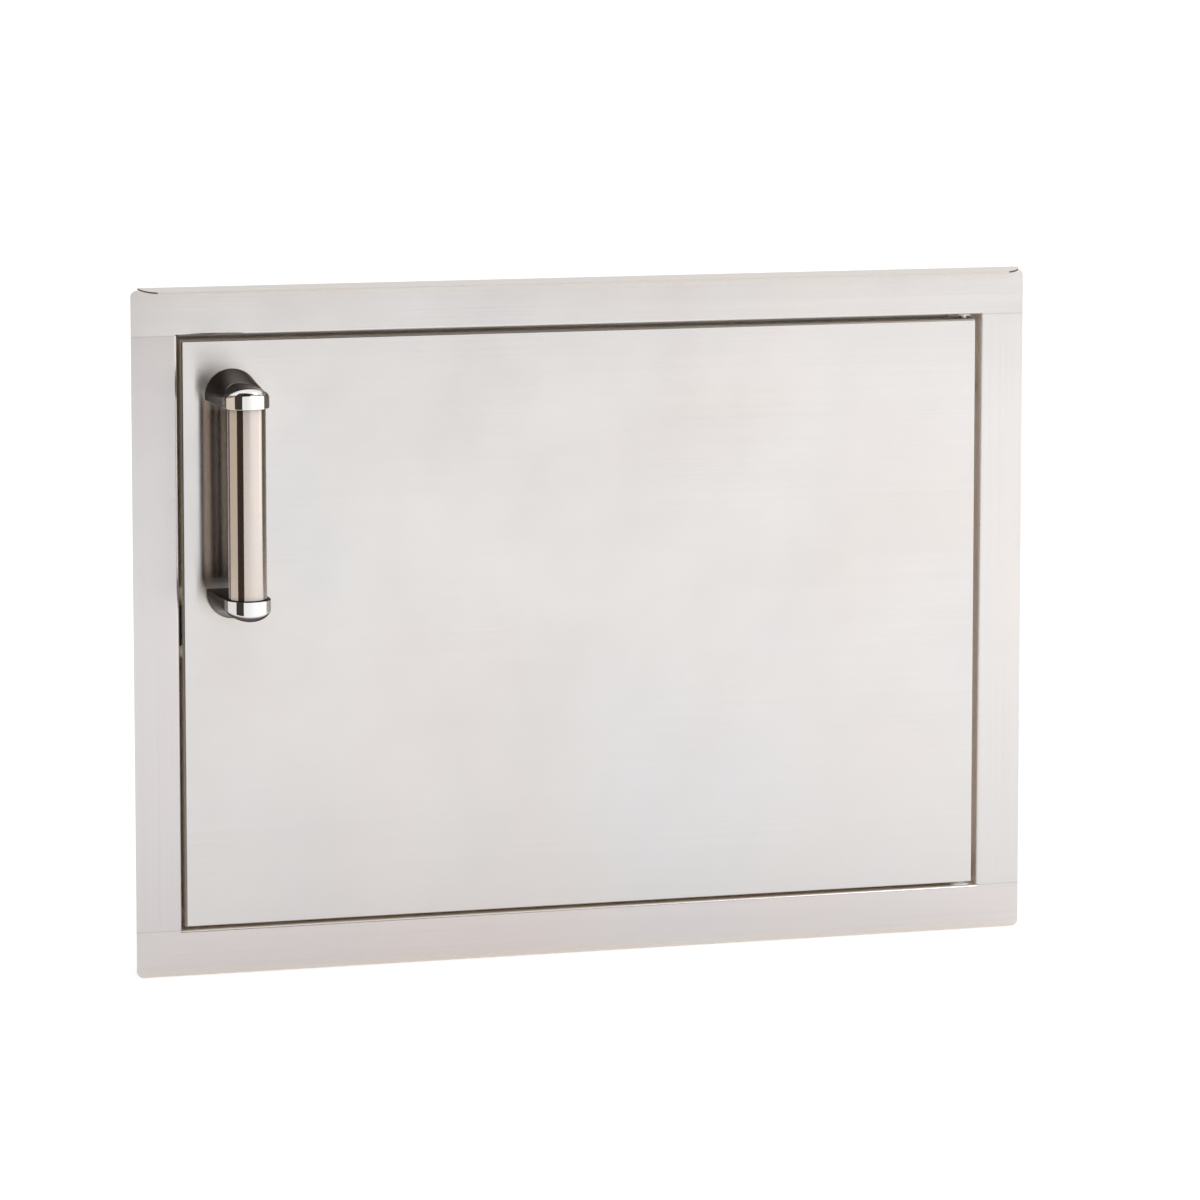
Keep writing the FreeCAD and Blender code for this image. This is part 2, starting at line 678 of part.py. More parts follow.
notch_left = f"({PIVOT_X} - dims.notch_wide * 0.7)"
notch_right = f"({notch_left} + dims.notch_wide)"
notch_front = f"({PIVOT_Y} - dims.notch_deep * 0.4)"
notch_rear = f"({notch_front} + dims.notch_deep)"
notch = sketch_on(skin, "XY_Plane", DOOR_TOP)
rectangle(notch, notch_left, notch_front, notch_right, notch_rear)
pocket(skin, notch, "dims.door_sheet")
fillet(skin, "dims.notch_corner", "z", [(notch_left, notch_front), (notch_left, notch_rear),
                                        (notch_right, notch_front), (notch_right, notch_rear)])
lower_hole = sketch_on(skin, "XY_Plane", DOOR_LOW)
circle(lower_hole, PIVOT_X, PIVOT_Y, "dims.lower_bushing_dia / 2 + dims.lower_bushing_fit")
pocket(skin, lower_hole, "dims.door_sheet", reverse=True)


# Door liner: a shallow pan inside the skin's flanges that closes the back


liner = new_body("door_liner")
liner_left = f"({DOOR_LEFT} + dims.door_sheet + dims.liner_fit)"
liner_right = f"({DOOR_RIGHT} - dims.door_sheet - dims.liner_fit)"
liner_low = f"({DOOR_LOW} + dims.door_sheet + dims.liner_fit)"
liner_top = f"({DOOR_TOP} - dims.door_sheet - dims.liner_fit)"
back = sketch_on(liner, "XZ_Plane", f"-{DOOR_BACK}")
rectangle(back, liner_left, liner_low, liner_right, liner_top)
pad(liner, back, "dims.liner_flange")
outer_edges = (edges_along(liner.Shape, "x", [(DOOR_BACK, liner_low), (DOOR_BACK, liner_top)])
               + edges_along(liner.Shape, "z", [(liner_left, DOOR_BACK), (liner_right, DOOR_BACK)]))
round_edges(liner, "Fillet", "dims.door_bend + dims.door_sheet", outer_edges)
liner_face = f"({DOOR_BACK} - dims.liner_flange)"
tray_left = f"({liner_left} + dims.door_sheet)"
tray_right = f"({liner_right} - dims.door_sheet)"
tray_low = f"({liner_low} + dims.door_sheet)"
tray_top = f"({liner_top} - dims.door_sheet)"
tray = sketch_on(liner, "XZ_Plane", f"-{liner_face}")
rectangle(tray, tray_left, tray_low, tray_right, tray_top)
pocket(liner, tray, "dims.liner_flange - dims.door_sheet")
inner_edges = (edges_along(liner.Shape, "x", [(LINER_FRONT, tray_low), (LINER_FRONT, tray_top)])
               + edges_along(liner.Shape, "z", [(tray_left, LINER_FRONT), (tray_right, LINER_FRONT)]))
round_edges(liner, "Fillet", "dims.door_bend", inner_edges)

holes = sketch_on(liner, "XZ_Plane", f"-{LINER_FRONT}")
for up in SCREW_Z:
    circle(holes, HANDLE_X, up, "dims.access_dia / 2")
for up in RIVET_Z:
    circle(holes, CATCH_MID_X, up, "dims.rivet_dia / 2")
pocket(liner, holes, "dims.door_sheet")

# The slot lets the pin's tail slide down; its ends are half circles
slot_half = "(dims.pin_dia / 2 + dims.slot_play)"
slot_high = TAIL_Z
slot_low = f"({TAIL_Z} - dims.pin_travel)"
slot = sketch_on(liner, "XZ_Plane", f"-{LINER_FRONT}")
outline(slot, [
    (f"{PIVOT_X} - {slot_half}", slot_low), (f"{PIVOT_X} + {slot_half}", slot_low),
    (f"{PIVOT_X} + {slot_half}", slot_high), (f"{PIVOT_X} - {slot_half}", slot_high),
], {0: (PIVOT_X, slot_low, True), 2: (PIVOT_X, slot_high, True)})
pocket(liner, slot, "dims.door_sheet")


# Hinge brackets, spot-welded inside the skin's right flange


bracket_right = f"({DOOR_RIGHT} - dims.door_sheet)"
bracket_left = f"({bracket_right} - dims.bracket_long)"
bracket_web = f"({bracket_right} - dims.bracket_sheet)"
bracket_front = f"({PIVOT_Y} - dims.bracket_deep / 2)"
low_ear_top = f"({LOW_EAR} + dims.bracket_sheet)"
upper = new_body("upper_hinge_bracket")
profile = sketch_on(upper, "XZ_Plane", f"-{bracket_front}")
outline(profile, [
    (bracket_left, LOW_EAR), (bracket_right, LOW_EAR), (bracket_right, EAR_TOP), (bracket_left, EAR_TOP),
    (bracket_left, EAR_UNDER), (bracket_web, EAR_UNDER), (bracket_web, low_ear_top), (bracket_left, low_ear_top),
])
pad(upper, profile, "dims.bracket_deep", reverse=True)
fillet(upper, "dims.bracket_bend", "y", [(bracket_web, EAR_UNDER), (bracket_web, low_ear_top)])
fillet(upper, "dims.bracket_bend + dims.bracket_sheet", "y", [(bracket_right, LOW_EAR), (bracket_right, EAR_TOP)])
bores = sketch_on(upper, "XY_Plane", EAR_TOP)
circle(bores, PIVOT_X, PIVOT_Y, BORE)
pocket(upper, bores)

foot_low = f"({DOOR_LOW} + dims.door_sheet)"
foot_top = f"({foot_low} + dims.bracket_sheet)"
web_top = f"({foot_low} + dims.lower_bracket_high)"
lower = new_body("lower_hinge_bracket")
profile = sketch_on(lower, "XZ_Plane", f"-{bracket_front}")
outline(profile, [
    (bracket_left, foot_low), (bracket_right, foot_low), (bracket_right, web_top),
    (bracket_web, web_top), (bracket_web, foot_top), (bracket_left, foot_top),
])
pad(lower, profile, "dims.bracket_deep", reverse=True)
fillet(lower, "dims.bracket_bend", "y", [(bracket_web, foot_top)])
fillet(lower, "dims.bracket_bend + dims.bracket_sheet", "y", [(bracket_right, foot_low)])
bore = sketch_on(lower, "XY_Plane", foot_low)
circle(bore, PIVOT_X, PIVOT_Y, "dims.lower_bushing_dia / 2 + dims.lower_bushing_fit")
pocket(lower, bore, reverse=True)

bushing_top = "(dims.door_sheet + dims.bracket_sheet + dims.lower_bushing_over)"
lower_bushing = turned("lower_bushing", [
    (BORE, "-dims.lower_bushing_flange"), ("dims.lower_bushing_flange_dia / 2", "-dims.lower_bushing_flange"),
    ("dims.lower_bushing_flange_dia / 2", "0"), ("dims.lower_bushing_dia / 2", "0"),
    ("dims.lower_bushing_dia / 2", bushing_top), (BORE, bushing_top),
])
place(lower_bushing, PIVOT_X, PIVOT_Y, DOOR_LOW)


# Hinge pin: a rod through both ears whose tail bends back through the liner


pin = new_body("hinge_pin")
tip_z = f"({JAMB_Z} + dims.frame_sheet + dims.pin_tip)"
bend_z = f"({TAIL_Z} + dims.pin_bend_radius)"
spine = sketch_on(pin, "YZ_Plane")
outline(spine, [("0", tip_z), ("0", bend_z), ("dims.pin_bend_radius", TAIL_Z), (TAIL_Y, TAIL_Z)],
        {1: ("dims.pin_bend_radius", bend_z, True)}, closed=False)
section = sketch_on(pin, "XY_Plane", tip_z)
circle(section, "0", "0", "dims.pin_dia / 2")
doc.recompute()
pipe = pin.newObject("PartDesign::AdditivePipe", "Pipe")
pipe.Profile = section
pipe.Spine = (spine, ["Edge1", "Edge2", "Edge3"])
doc.recompute()
groove_sketch = sketch_on(pin, "YZ_Plane")
rectangle(groove_sketch, "dims.pin_dia / 2 - dims.clip_groove", CLIP_UNDER, "dims.pin_dia", EAR_UNDER)
before = pin.Shape.Volume
groove = pin.newObject("PartDesign::Groove", "Groove")
groove.Profile = groove_sketch
groove.ReferenceAxis = (groove_sketch, ["V_Axis"])
groove.Angle = 360
doc.recompute()
if pin.Shape.Volume > before - 0.01:
    raise RuntimeError("the pin's groove cuts nothing")
tip_edges = [f"Edge{i}" for i, edge in enumerate(pin.Shape.Edges, 1)
             if edge.Closed and abs(edge.CenterOfMass.z - value(tip_z)) < 1e-4]
round_edges(pin, "Chamfer", "dims.pin_tip_chamfer", tip_edges)
place(pin, PIVOT_X, PIVOT_Y)

clip = new_body("pin_clip")
ring = sketch_on(clip, "XY_Plane", CLIP_UNDER)
circle(ring, "0", "0", "dims.clip_dia / 2")
circle(ring, "0", "0", "dims.pin_dia / 2 - dims.clip_groove")
pad(clip, ring, "dims.clip_thick")
opening = sketch_on(clip, "XY_Plane", CLIP_UNDER)
rectangle(opening, "-dims.clip_dia", "-dims.clip_slot / 2", "0", "dims.clip_slot / 2")
pocket(clip, opening, "dims.clip_thick", reverse=True)
place(clip, PIVOT_X, PIVOT_Y)

grip_long = f"({TAIL_Y} + dims.grip_end - {DOOR_BACK} + {PIVOT_Y} - dims.grip_clear)"
grip_bore = f"({grip_long} - dims.grip_end)"
grip = turned("pin_grip", [
    ("dims.pin_dia / 2", "0"), ("dims.grip_dia / 2 - dims.grip_round", "0"), ("dims.grip_dia / 2", "dims.grip_round"),
    ("dims.grip_dia / 2", f"{grip_long} - dims.grip_round"), ("dims.grip_dia / 2 - dims.grip_round", grip_long),
    ("0", grip_long), ("0", grip_bore), ("dims.pin_dia / 2", grip_bore),
], {1: ("dims.grip_dia / 2 - dims.grip_round", "dims.grip_round", True),
    3: ("dims.grip_dia / 2 - dims.grip_round", f"{grip_long} - dims.grip_round", True)})
place(grip, PIVOT_X, f"{DOOR_BACK} + dims.grip_clear", TAIL_Z, ALONG_PLUS_Y)


# Pin spring between the low ear and the clip: a coil of round wire whose end turns lie flat


def spring_shape():
    wire = value("dims.spring_wire")
    radius = value("dims.spring_mean_dia / 2")
    turns = value("dims.spring_turns")
    flat = value("dims.spring_flat")
    mix = value("dims.spring_blend")
    low = value(low_ear_top) + wire / 2
    climb = value(CLIP_UNDER) - wire / 2 - low
    slope = climb / (turns - 2 * flat - mix)

    def height(turn):
        # Flat ends, then a blend into an even climb
        if turn > turns / 2:
            return climb - height(turns - turn)
        if turn < flat:
            return 0.0
        if turn < flat + mix:
            return slope * (turn - flat) ** 2 / (2 * mix)
        return slope * (turn - flat - mix / 2)

    def point(turn):
        angle = 2 * math.pi * turn
        return V(radius * math.cos(angle), radius * math.sin(angle), low + height(turn))

    def tangent(turn):
        step = 1e-4
        return (point(min(turn + step, turns)) - point(max(turn - step, 0.0))).normalize()

    def arc(start, along, end):
        chord = end - start
        side = chord - along * chord.dot(along)
        side.normalize()
        reach = chord.dot(chord) / (2 * chord.dot(side))
        centre = start + side * reach
        middle = (start + end) * 0.5 - centre
        middle.normalize()
        return Part.Arc(start, centre + middle * reach, end).toShape()

    edges = []
    pieces = int(round(turns * 4))
    for i in range(pieces):
        first, last = turns * i / pieces, turns * (i + 1) / pieces
        start, end = point(first), point(last)
        leave, arrive = tangent(first), tangent(last)
        span = end - start
        both = leave + arrive
        spread = 2 * (1 - leave.dot(arrive))
        reach = (math.sqrt(span.dot(both) ** 2 + spread * span.dot(span)) - span.dot(both)) / spread
        joint = (start + leave * reach + end - arrive * reach) * 0.5
        edges.append(arc(start, leave, joint))
        edges.append(arc(joint, (end - arrive * reach - joint).normalize(), end))
    path = Part.Wire(edges)
    ring = Part.Wire([Part.Circle(point(0.0), tangent(0.0), wire / 2).toShape()])
    coil = path.makePipeShell([ring], True, False)
    # Least gap between turns, measured on points of the wire's centre line
    samples = [point(turns * i / 400) for i in range(401)]
    apart = int(400 / turns * 0.6)
    least = min((samples[i] - samples[j]).Length for i in range(401) for j in range(i + apart, 401))
    print(f"pin spring: least gap between turns {least - wire:.2f} mm")
    print(f"pin spring: volume {coil.Volume:.1f}, section times length {math.pi * wire ** 2 / 4 * path.Length:.1f}")
    return coil


spring = doc.addObject("Part::Feature", "pin_spring")
spring.Label = "pin_spring"
spring.Shape = spring_shape()
spring.Placement = FreeCAD.Placement(V(value(PIVOT_X), value(PIVOT_Y), 0), FreeCAD.Rotation())
nodes.append(spring)


# Handle: a tube between two cast ends


tube = new_body("handle_tube")
ring = sketch_on(tube, "XY_Plane")
circle(ring, "0", "0", "dims.tube_dia / 2")
circle(ring, "0", "0", "dims.tube_dia / 2 - dims.tube_wall")
pad(tube, ring, "dims.handle_span + 2 * dims.socket_deep", symmetric=True)
place(tube, HANDLE_X, HANDLE_Y, HANDLE_Z)


def handle_end(label, side):
    # Each end is a vaulted neck with a round front over the tube, and a flare from it to a half-round foot.
    # The neck's flat side faces the other end.
    body = new_body(label)
    half = "(dims.collar_dia / 2)"
    centre = "(dims.crown_high - dims.crown_radius)"
    corner = f"({centre} + sqrt(dims.crown_radius^2 - {half}^2))"
    neck_end = "-dims.neck_reach"

    neck = sketch_on(body, "XZ_Plane", neck_end)
    outline(neck, [(f"-{half}", "0"), (half, "0"), (half, corner), (f"-{half}", corner)], {2: ("0", centre, True)})
    pad(body, neck, f"dims.neck_reach + {half}")
    past = f"({half} + dims.crown_edge)"
    front = sketch_on(body, "XY_Plane")
    outline(front, [(f"-{half}", "0"), (f"-{past}", "0"), (f"-{past}", f"-{past}"), (past, f"-{past}"),
                    (past, "0"), (half, "0")], {5: ("0", "0", False)})
    pocket(body, front, "dims.crown_high + dims.crown_edge", reverse=True)
    crown = [f"Edge{number}" for number, edge in enumerate(body.Shape.Edges, 1)
             if all(abs(vertex.Z - value(corner)) < 1e-3 for vertex in edge.Vertexes)
             and edge.CenterOfMass.y < value("dims.neck_reach") - 1e-3]
    round_edges(body, "Fillet", "dims.crown_edge", crown)
    rim = [f"Edge{number}" for number, edge in enumerate(body.Shape.Edges, 1)
           if all(abs(vertex.Z) < 1e-4 for vertex in edge.Vertexes)
           and edge.CenterOfMass.y < value("dims.neck_reach") - 1e-3]
    round_edges(body, "Fillet", "dims.leg_edge", rim)

    inset = f"({half} - dims.crown_edge)"
    rise = f"sqrt((dims.crown_radius - dims.crown_edge)^2 - {inset}^2)"
    share = "(dims.crown_radius / (dims.crown_radius - dims.crown_edge))"
    shoulder = f"({centre} + {rise})"
    touch_x = f"({inset} * {share})"
    touch_z = f"({centre} + {rise} * {share})"
    lip = "dims.leg_edge"
    start = sketch_on(body, "XZ_Plane", neck_end)
    low_x = f"({half} - {lip})"
    outline(start, [
        (f"-{low_x}", "0"), (low_x, "0"), (half, lip), (half, shoulder), (touch_x, touch_z),
        (f"-{touch_x}", touch_z), (f"-{half}", shoulder), (f"-{half}", lip),
    ], {1: (low_x, lip, True), 3: (inset, shoulder, True), 4: ("0", centre, True),
        5: (f"-{inset}", shoulder, True), 7: (f"-{low_x}", lip, True)})
    foot = sketch_on(body, "XZ_Plane", "-dims.handle_out")
    wide = "dims.foot_radius"
    low_x = f"({wide} - {lip})"
    foot_x = "dims.foot_radius * cos(40deg)"
    foot_z = "dims.foot_rise + dims.foot_radius * sin(40deg)"
    middle = ("0", "dims.foot_rise", True)
    outline(foot, [
        (f"-{low_x}", "0"), (low_x, "0"), (wide, lip), (wide, "dims.foot_rise"), (foot_x, foot_z),
        (f"-{foot_x}", foot_z), (f"-{wide}", "dims.foot_rise"), (f"-{wide}", lip),
    ], {1: (low_x, lip, True), 3: middle, 4: middle, 5: middle, 7: (f"-{low_x}", lip, True)})
    doc.recompute()
    flare = body.newObject("PartDesign::AdditiveLoft", "Loft")
    flare.Profile = start
    flare.Sections = [foot]
    flare.Ruled = True
    doc.recompute()

    socket = sketch_on(body, "XY_Plane")
    circle(socket, "0", "0", "dims.tube_dia / 2")
    pocket(body, socket, "dims.socket_deep", reverse=True)
    tapped = sketch_on(body, "XZ_Plane", "-dims.handle_out")
    circle(tapped, "0", "dims.handle_screw_up", "dims.handle_screw_dia / 2")
    pocket(body, tapped, "dims.handle_screw_deep + dims.handle_tap_extra", reverse=True)
    turn = None if side > 0 else (V(0, 1, 0), 180)
    place(body, HANDLE_X, HANDLE_Y, f"{HANDLE_Z} + {side} * dims.handle_span / 2", turn)


handle_end("handle_end_top", 1)
handle_end("handle_end_bottom", -1)

backing = new_body("handle_backing_plate")
plate = sketch_on(backing, "XZ_Plane", f"-{SKIN_BACK}")
plate_left = f"({HANDLE_X} - dims.backing_wide / 2)"
plate_right = f"({HANDLE_X} + dims.backing_wide / 2)"
reach = f"({SCREW_REACH} + dims.handle_washer_dia / 2 + dims.backing_over)"
plate_low = f"({HANDLE_Z} - {reach})"
plate_high = f"({HANDLE_Z} + {reach})"
rectangle(plate, plate_left, plate_low, plate_right, plate_high)
for up in SCREW_Z:
    circle(plate, HANDLE_X, up, "dims.handle_screw_dia / 2 + dims.handle_screw_play")
pad(backing, plate, "dims.backing_thick", reverse=True)
fillet(backing, "dims.backing_corner", "y", [(plate_left, plate_low), (plate_left, plate_high),
                                             (plate_right, plate_low), (plate_right, plate_high)])

for end, up in zip(("top", "bottom"), SCREW_Z):
    washer = turned(f"handle_washer_{end}", [
        ("dims.handle_screw_dia / 2 + dims.handle_screw_play", "0"), ("dims.handle_washer_dia / 2", "0"),
        ("dims.handle_washer_dia / 2", "dims.handle_washer"),
        ("dims.handle_screw_dia / 2 + dims.handle_screw_play", "dims.handle_washer"),
    ])
    place(washer, HANDLE_X, WASHER_Y, up, ALONG_PLUS_Y)
    shank = f"-({HEAD_Y} - {FACE_Y} + dims.handle_screw_deep)"
    screw = turned(f"handle_screw_{end}", [
        ("0", shank), ("dims.handle_screw_dia / 2", shank), ("dims.handle_screw_dia / 2", "0"),
        ("dims.handle_screw_head_dia / 2", "0"), ("dims.handle_screw_head_dia / 2", "dims.handle_screw_head * 0.85"),
        ("dims.handle_screw_head_dia / 2 - dims.handle_screw_head * 0.15", "dims.handle_screw_head"),
        ("0", "dims.handle_screw_head"),
    ])
    place(screw, HANDLE_X, HEAD_Y, up, ALONG_PLUS_Y)

    # Snap-in plug over the liner's screwdriver hole
    stem = "(dims.access_dia / 2 - dims.plug_fit)"
    depth = "(-dims.plug_stem)"
    inner = f"({stem} - dims.plug_wall)"
    plug = turned(f"liner_plug_{end}", [
        ("0", "0"), (inner, "0"), (inner, depth), (stem, depth), (stem, "0"),
        ("dims.access_dia / 2 + dims.plug_rim", "0"), ("dims.access_dia / 2 + dims.plug_rim", "dims.plug_cap / 2"),
        ("dims.access_dia / 2 + dims.plug_rim / 2", "dims.plug_cap"), ("0", "dims.plug_cap"),
    ])
    place(plug, HANDLE_X, DOOR_BACK, up, ALONG_PLUS_Y)


# Strike plate on the door's back, held by two rivets


strike = new_body("strike_plate")
plate = sketch_on(strike, "XZ_Plane", f"-{DOOR_BACK}")
strike_left = f"({CATCH_MID_X} - dims.strike_wide / 2)"
strike_right = f"({CATCH_MID_X} + dims.strike_wide / 2)"
strike_low = "(dims.catch_z - dims.strike_high / 2)"
strike_high = "(dims.catch_z + dims.strike_high / 2)"
rectangle(plate, strike_left, strike_low, strike_right, strike_high)
for up in RIVET_Z:
    circle(plate, CATCH_MID_X, up, "dims.rivet_dia / 2")
pad(strike, plate, "dims.strike_thick", reverse=True)
fillet(strike, "dims.strike_corner", "y", [(strike_left, strike_low), (strike_left, strike_high),
                                           (strike_right, strike_low), (strike_right, strike_high)])

for label, up in zip(("strike_rivet_upper", "strike_rivet_lower"), RIVET_Z):
    grip_under = "-(dims.strike_thick + dims.door_sheet)"
    tail = f"({grip_under} - dims.rivet_tail)"
    rivet = turned(label, [
        ("0", tail), ("dims.rivet_tail_dia / 2", tail), ("dims.rivet_tail_dia / 2", grip_under),
        ("dims.rivet_dia / 2", grip_under), ("dims.rivet_dia / 2", "0"), ("dims.rivet_head_dia / 2", "0"),
        ("dims.rivet_head_dia / 3", "dims.rivet_head"), ("0", "dims.rivet_head"),
    ])
    place(rivet, CATCH_MID_X, STRIKE_BACK, up, ALONG_PLUS_Y)


# Every object and every piece is checked before anything is written


doc.recompute()
for item in doc.Objects:
    if "Invalid" in item.State or "Error" in item.State:
        raise RuntimeError(f"{item.Name} ({item.Label}) did not build: {item.State}")
for node in nodes:
    shape = node.Shape
    if shape.isNull() or not shape.isValid() or shape.Volume <= 0 or len(shape.Solids) != 1:
        raise RuntimeError(f"{node.Label} is not one valid solid")
for node in nodes:
    node.Shape.exportStep(f"parts/{node.Label}.step")
print(f"{len(nodes)} pieces written")
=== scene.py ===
import math

import bmesh
import bpy
from mathutils import Matrix, Vector


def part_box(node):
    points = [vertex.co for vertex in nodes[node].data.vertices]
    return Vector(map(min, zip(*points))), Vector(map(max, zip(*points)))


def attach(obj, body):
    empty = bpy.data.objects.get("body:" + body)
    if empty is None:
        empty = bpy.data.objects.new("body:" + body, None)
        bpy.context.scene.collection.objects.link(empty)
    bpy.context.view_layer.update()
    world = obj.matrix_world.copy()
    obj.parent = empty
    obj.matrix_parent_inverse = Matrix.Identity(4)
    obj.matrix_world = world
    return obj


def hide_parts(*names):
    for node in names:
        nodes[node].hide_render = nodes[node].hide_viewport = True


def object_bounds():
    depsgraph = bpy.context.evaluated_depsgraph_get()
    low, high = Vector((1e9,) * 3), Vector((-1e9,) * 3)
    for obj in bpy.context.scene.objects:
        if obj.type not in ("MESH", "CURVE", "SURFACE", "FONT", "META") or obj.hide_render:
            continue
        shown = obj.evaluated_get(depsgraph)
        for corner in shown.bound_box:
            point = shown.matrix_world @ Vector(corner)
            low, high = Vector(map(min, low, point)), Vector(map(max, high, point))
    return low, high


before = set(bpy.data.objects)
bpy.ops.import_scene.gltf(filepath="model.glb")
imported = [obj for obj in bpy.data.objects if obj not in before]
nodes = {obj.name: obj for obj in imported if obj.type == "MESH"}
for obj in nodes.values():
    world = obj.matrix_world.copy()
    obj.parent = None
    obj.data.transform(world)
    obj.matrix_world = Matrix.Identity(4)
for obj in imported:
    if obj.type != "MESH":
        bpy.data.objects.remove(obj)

cad_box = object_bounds()
scene = bpy.context.scene
scene.view_settings.view_transform = "Standard"

MM = 0.001


# Helpers for node trees


def opaque(shade):
    return (*shade, 1)


class Tree:
    """Adds nodes to a material, world or group and links them by name."""

    def __init__(self, owner):
        self.tree = owner.node_tree if hasattr(owner, "node_tree") else owner
        self.tree.nodes.clear()

    def feed(self, socket, item):
        # What another node gives out is linked. Anything else becomes the socket's own value
        if isinstance(item, bpy.types.NodeSocket):
            self.tree.links.new(item, socket)
        else:
            socket.default_value = item

    def add(self, kind, values=None, **settings):
        node = self.tree.nodes.new(kind)
        for key, item in settings.items():
            setattr(node, key, item)
        for key, item in (values or {}).items():
            self.feed(node.inputs[key], item)
        return node

    def place(self, group, values):
        return self.add("ShaderNodeGroup", values, node_tree=group).outputs

    def math(self, operation, first, second=0.0, third=None):
        values = {0: first, 1: second}
        if third is not None:
            values[2] = third
        return self.add("ShaderNodeMath", values, operation=operation).outputs[0]

    def vector_math(self, operation, first, second):
        return self.add("ShaderNodeVectorMath", {0: first, 1: second}, operation=operation).outputs[0]

    def parts(self, vector):
        return self.add("ShaderNodeSeparateXYZ", {0: vector}).outputs

    def noise(self, vector, scale, detail, roughness=0.5):
        values = {"Vector": vector, "Scale": scale, "Detail": detail, "Roughness": roughness}
        return self.add("ShaderNodeTexNoise", values).outputs["Fac"]

    def mix(self, factor, first, second, blend="MIX"):
        node = self.add("ShaderNodeMix", {"Factor": factor}, data_type="RGBA", blend_type=blend)
        colours = [socket for socket in node.inputs if socket.type == "RGBA"]
        for socket, item in zip(colours, (first, second)):
            self.feed(socket, item)
        return [socket for socket in node.outputs if socket.type == "RGBA"][0]

    def ramp(self, factor, start, end, low=0.0, high=1.0):
        # A grey that goes from low to high while the factor goes from start to end
        node = self.add("ShaderNodeValToRGB", {"Fac": factor})
        for element, position, shade in zip(node.color_ramp.elements, (start, end), (low, high)):
            element.position = position
            element.color = (shade, shade, shade, 1)
        return node.outputs["Color"]

    def fade(self, value, start, end, low=0.0, high=1.0, kind="LINEAR"):
        # The same as a plain number
        values = {"Value": value, "From Min": start, "From Max": end, "To Min": low, "To Max": high}
        return self.add("ShaderNodeMapRange", values, interpolation_type=kind).outputs[0]

    def bump(self, height, strength, distance):
        values = {"Height": height, "Strength": strength, "Distance": distance}
        return self.add("ShaderNodeBump", values).outputs[0]

    def place_on_piece(self):
        return self.add("ShaderNodeTexCoord").outputs["Object"]

    def facing(self, axis):
        # How squarely the surface faces along an axis, whichever way
        normal = self.add("ShaderNodeNewGeometry").outputs["Normal"]
        return self.math("ABSOLUTE", self.parts(normal)[axis])

    def surface(self, values):
        shader = self.add("ShaderNodeBsdfPrincipled", values).outputs[0]
        self.add("ShaderNodeOutputMaterial", {"Surface": shader})


def new_group(name, inputs, outputs):
    group = bpy.data.node_groups.new(name, "ShaderNodeTree")
    for label, kind, default in inputs:
        socket = group.interface.new_socket(label, in_out="INPUT", socket_type=kind)
        if default is not None:
            socket.default_value = default
    for label, kind in outputs:
        group.interface.new_socket(label, in_out="OUTPUT", socket_type=kind)
    tree = Tree(group)
    return group, tree, tree.add("NodeGroupInput").outputs, tree.add("NodeGroupOutput").inputs


# Effects that several finishes share


FLOAT, COLOUR, VECTOR = "NodeSocketFloat", "NodeSocketColor", "NodeSocketVector"
FINE_SHARE, COARSE_SHARE, COARSE_SIZE = 0.6, 0.4, 0.22
COOL_SHIFT = (-1.0, 1.3, 0.7)


def brush_group():
    # Fine grain left by the belt: long thin scratches of two sizes along one direction
    group, tree, given, wanted = new_group(
        "brush grain",
        [("Vector", VECTOR, None), ("Grain", VECTOR, (4.0, 900.0, 900.0)), ("Depth", FLOAT, 0.5)],
        [("Shade", FLOAT), ("Height", FLOAT)])
    fine_place = tree.vector_math("MULTIPLY", given["Vector"], given["Grain"])
    coarse_place = tree.add("ShaderNodeVectorMath", {0: fine_place, "Scale": COARSE_SIZE},
                            operation="SCALE").outputs[0]
    fine = tree.math("MULTIPLY", tree.noise(fine_place, 1.0, 3.0), FINE_SHARE)
    coarse = tree.math("MULTIPLY", tree.noise(coarse_place, 1.0, 2.0), COARSE_SHARE)
    height = tree.math("ADD", fine, coarse)
    uneven = tree.math("SUBTRACT", height, 0.5)
    tree.feed(wanted["Shade"], tree.math("MULTIPLY_ADD", uneven, given["Depth"], 1.0))
    tree.feed(wanted["Height"], height)
    return group


def cloud_group():
    # Soft warm and cool patches, as rolled sheet has. The cool ones lie elsewhere than the warm ones
    group, tree, given, wanted = new_group(
        "sheet cloud",
        [("Vector", VECTOR, None), ("Scale", FLOAT, 4.0), ("Metal", COLOUR, (0.8, 0.79, 0.78, 1)),
         ("Warm", COLOUR, (0.82, 0.78, 0.76, 1)), ("Cool", COLOUR, (0.76, 0.79, 0.81, 1))],
        [("Color", COLOUR)])
    elsewhere = tree.vector_math("MULTIPLY", given["Vector"], COOL_SHIFT)
    warm = tree.ramp(tree.noise(given["Vector"], given["Scale"], 2.0), 0.42, 0.66)
    cool = tree.ramp(tree.noise(elsewhere, given["Scale"], 3.0), 0.45, 0.68)
    warmed = tree.mix(warm, given["Metal"], given["Warm"])
    tree.feed(wanted["Color"], tree.mix(cool, warmed, given["Cool"]))
    return group


